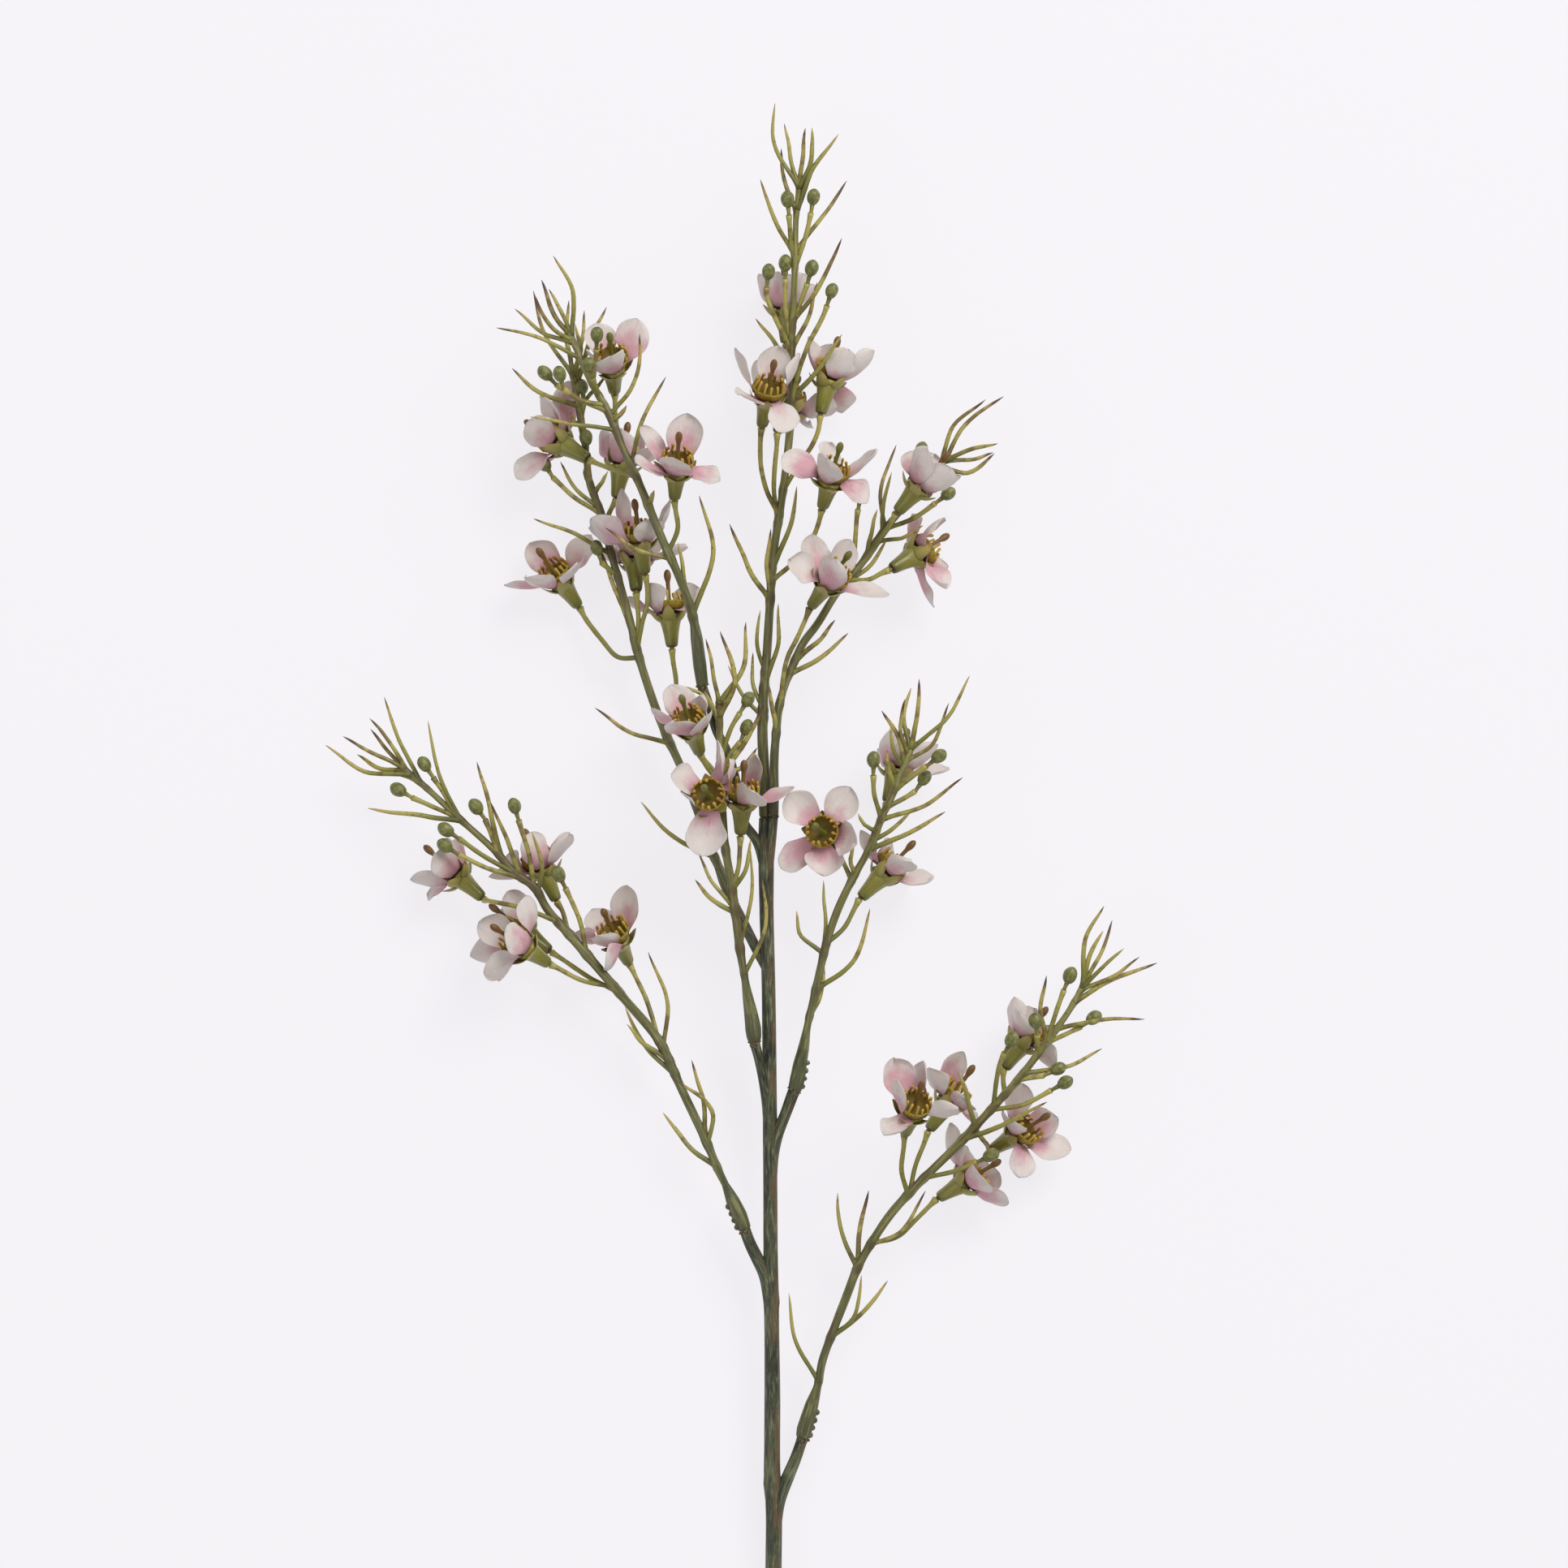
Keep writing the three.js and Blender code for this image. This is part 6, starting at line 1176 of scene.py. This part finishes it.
def style_finish(name, foot, middle, head):
    finish = Finish(name)
    mottle = finish.noise(0.9, (1, 1, 0.5))
    base = finish.ramp(finish.along + (mottle - 0.5) * 0.4, [(0.0, foot), (0.5, middle), (1.0, head)])
    return finish.surface(base, 0.42 + (mottle - 0.5) * 0.2, mottle, 0.1)


def petal_finish():
    """Warm white, flushed pink towards its root, with faint veins and a darker edge line."""
    finish = Finish("blush_petal")
    cloud = finish.noise(4, detail=2)
    veins = finish.node("ShaderNodeMath", {"operation": "SINE"},
                        {0: finish.across * 21 + (finish.noise(3, (1, 0.5, 1), 2) - 0.5) * 5})
    veins = finish.between(abs(veins), 0.32, 0.0)
    fibres = finish.noise(0.5, (1.6, 0.3, 1))
    reach = 0.8 - finish.along - 0.22 * abs(finish.across) + (cloud - 0.5) * 0.7 + (finish.tone - 0.5) * 0.55
    flush = finish.between(reach, 0.0, 0.6)
    deep = finish.between(finish.along + (cloud - 0.5) * 0.2, 0.24, 0.02)
    streaks = finish.between(finish.noise(0.8, (1.5, 0.1, 1)), 0.55, 0.7)
    edge = finish.between(abs(finish.across), 0.965, 1.0)
    base = "#e4dcd8"
    for share, code in (
        (cloud, "#d5cac6"), (flush * 0.85, "#cf95a5"), (deep * 0.5, "#a8677a"),
        (veins * (0.08 + flush * 0.3), "#a25f74"), (streaks * (0.1 + flush * 0.3), "#b9758a"),
        ((fibres - 0.5) * 0.25 + 0.06, "#a99d92"), (edge * 0.4, "#9c8c80"),
    ):
        base = finish.tint(base, share, code)
    return finish.surface(base, 0.6 + (fibres - 0.5) * 0.15, veins * -0.5 + fibres * 0.5, 0.08,
                          Subsurface_Weight=0.15, Subsurface_Radius=(1.0, 0.7, 0.6), Subsurface_Scale=0.0015)


def floor_finish():
    finish = Finish("pale_paper_floor")
    place = finish.node("ShaderNodeTexCoord", output="Object")
    cloud = finish.node("ShaderNodeTexNoise", {}, {"Vector": place, "Scale": 3.0, "Detail": 2.0})
    return finish.surface(finish.tint("#696869", cloud, "#6c6b6d"), 0.8 + (cloud - 0.5) * 0.1,
                          Specular_IOR_Level=0.1, Emission_Color="#f2f0f4", Emission_Strength=0.88)


# ---- the whole stem ----
GREENS = {
    "twig": twig_finish(), "needle": needle_finish(), "bud": bud_finish(), "calyx": calyx_finish(),
    "sepal": sepal_finish(), "cup": cup_finish(), "stamen": stamen_finish(),
    "brown_style": style_finish("brown_style", "#8a7a30", "#7d5f28", "#6f4a22"),
    "green_style": style_finish("green_style", "#8a8a34", "#76762f", "#6b6a2b"),
}
GREENS["neck"] = GREENS["brown_style"]
PETAL = {"petal": petal_finish()}

main_stem().piece("main_stem_bar", {"main": main_stem_finish(), "butt": butt_finish()},
                  "main_stem", "main_stem_green")
for row in SPRIGS:
    name = row["name"]
    flowers = [Flower(*each) for each in row["flowers"]]
    sprig(row, flowers).piece(name + "_sprig_growth", GREENS, name + "_sprig", "sprig_green")
    for number, flower in enumerate(flowers, 1):
        petals = Skin()
        for blade in flower.blades:
            petal(petals, flower, blade)
        petals.piece(f"{name}_petals_{number}_blades", PETAL, f"{name}_petals_{number}", "petal_blush")


# ---- floor, light and camera ----
def floor():
    """A wide sheet, whose far edge stays out of low views."""
    half = 30.0
    corners = [(-half, -half, 0), (half, -half, 0), (half, half, 0), (-half, half, 0)]
    mesh = bpy.data.meshes.new("floor")
    mesh.from_pydata(corners, [], [(0, 1, 2, 3)])
    mesh.materials.append(floor_finish())
    made = bpy.data.objects.new("floor", mesh)
    bpy.context.scene.collection.objects.link(made)


def soft_box(name, place, size, power, tint):
    """Square light with its face turned to the middle of the stem."""
    x, y, z = place
    light = bpy.data.lights.new(name, "AREA")
    light.shape, light.size, light.energy, light.color = "SQUARE", size, power, tint
    made = bpy.data.objects.new(name, light)
    made.location = place
    made.rotation_euler = (math.atan2(math.hypot(x, y), z), 0, math.atan2(x, -y))
    bpy.context.scene.collection.objects.link(made)


def room():
    world = bpy.data.worlds.new("soft_room")
    world.use_nodes = True
    background = world.node_tree.nodes["Background"]
    background.inputs["Color"].default_value = (1.0, 0.99, 0.98, 1)
    background.inputs["Strength"].default_value = 0.42
    bpy.context.scene.world = world
    bpy.context.scene.view_settings.view_transform = "Standard"


def camera():
    """Straight over the stem; the field is as wide as given at the height of most flowers."""
    field, height, level, sensor = 483, 3500, 20, 36
    middle = (3.25, 241.5)
    made = bpy.data.objects.new("camera", bpy.data.cameras.new("camera"))
    made.data.sensor_width = sensor
    made.data.lens = sensor * height / field
    made.data.clip_start, made.data.clip_end = 0.1, 50
    made.location = tuple(np.array([*middle, level + height]) * MM + ORIGIN)
    bpy.context.scene.collection.objects.link(made)
    bpy.context.scene.camera = made


floor()
soft_box("window", (1.1, 1.6, 1.8), 1.5, 48, (1, 0.985, 0.96))
soft_box("fill", (-1.4, -0.6, 1.8), 1.6, 8, (1, 0.99, 0.98))
room()
camera()
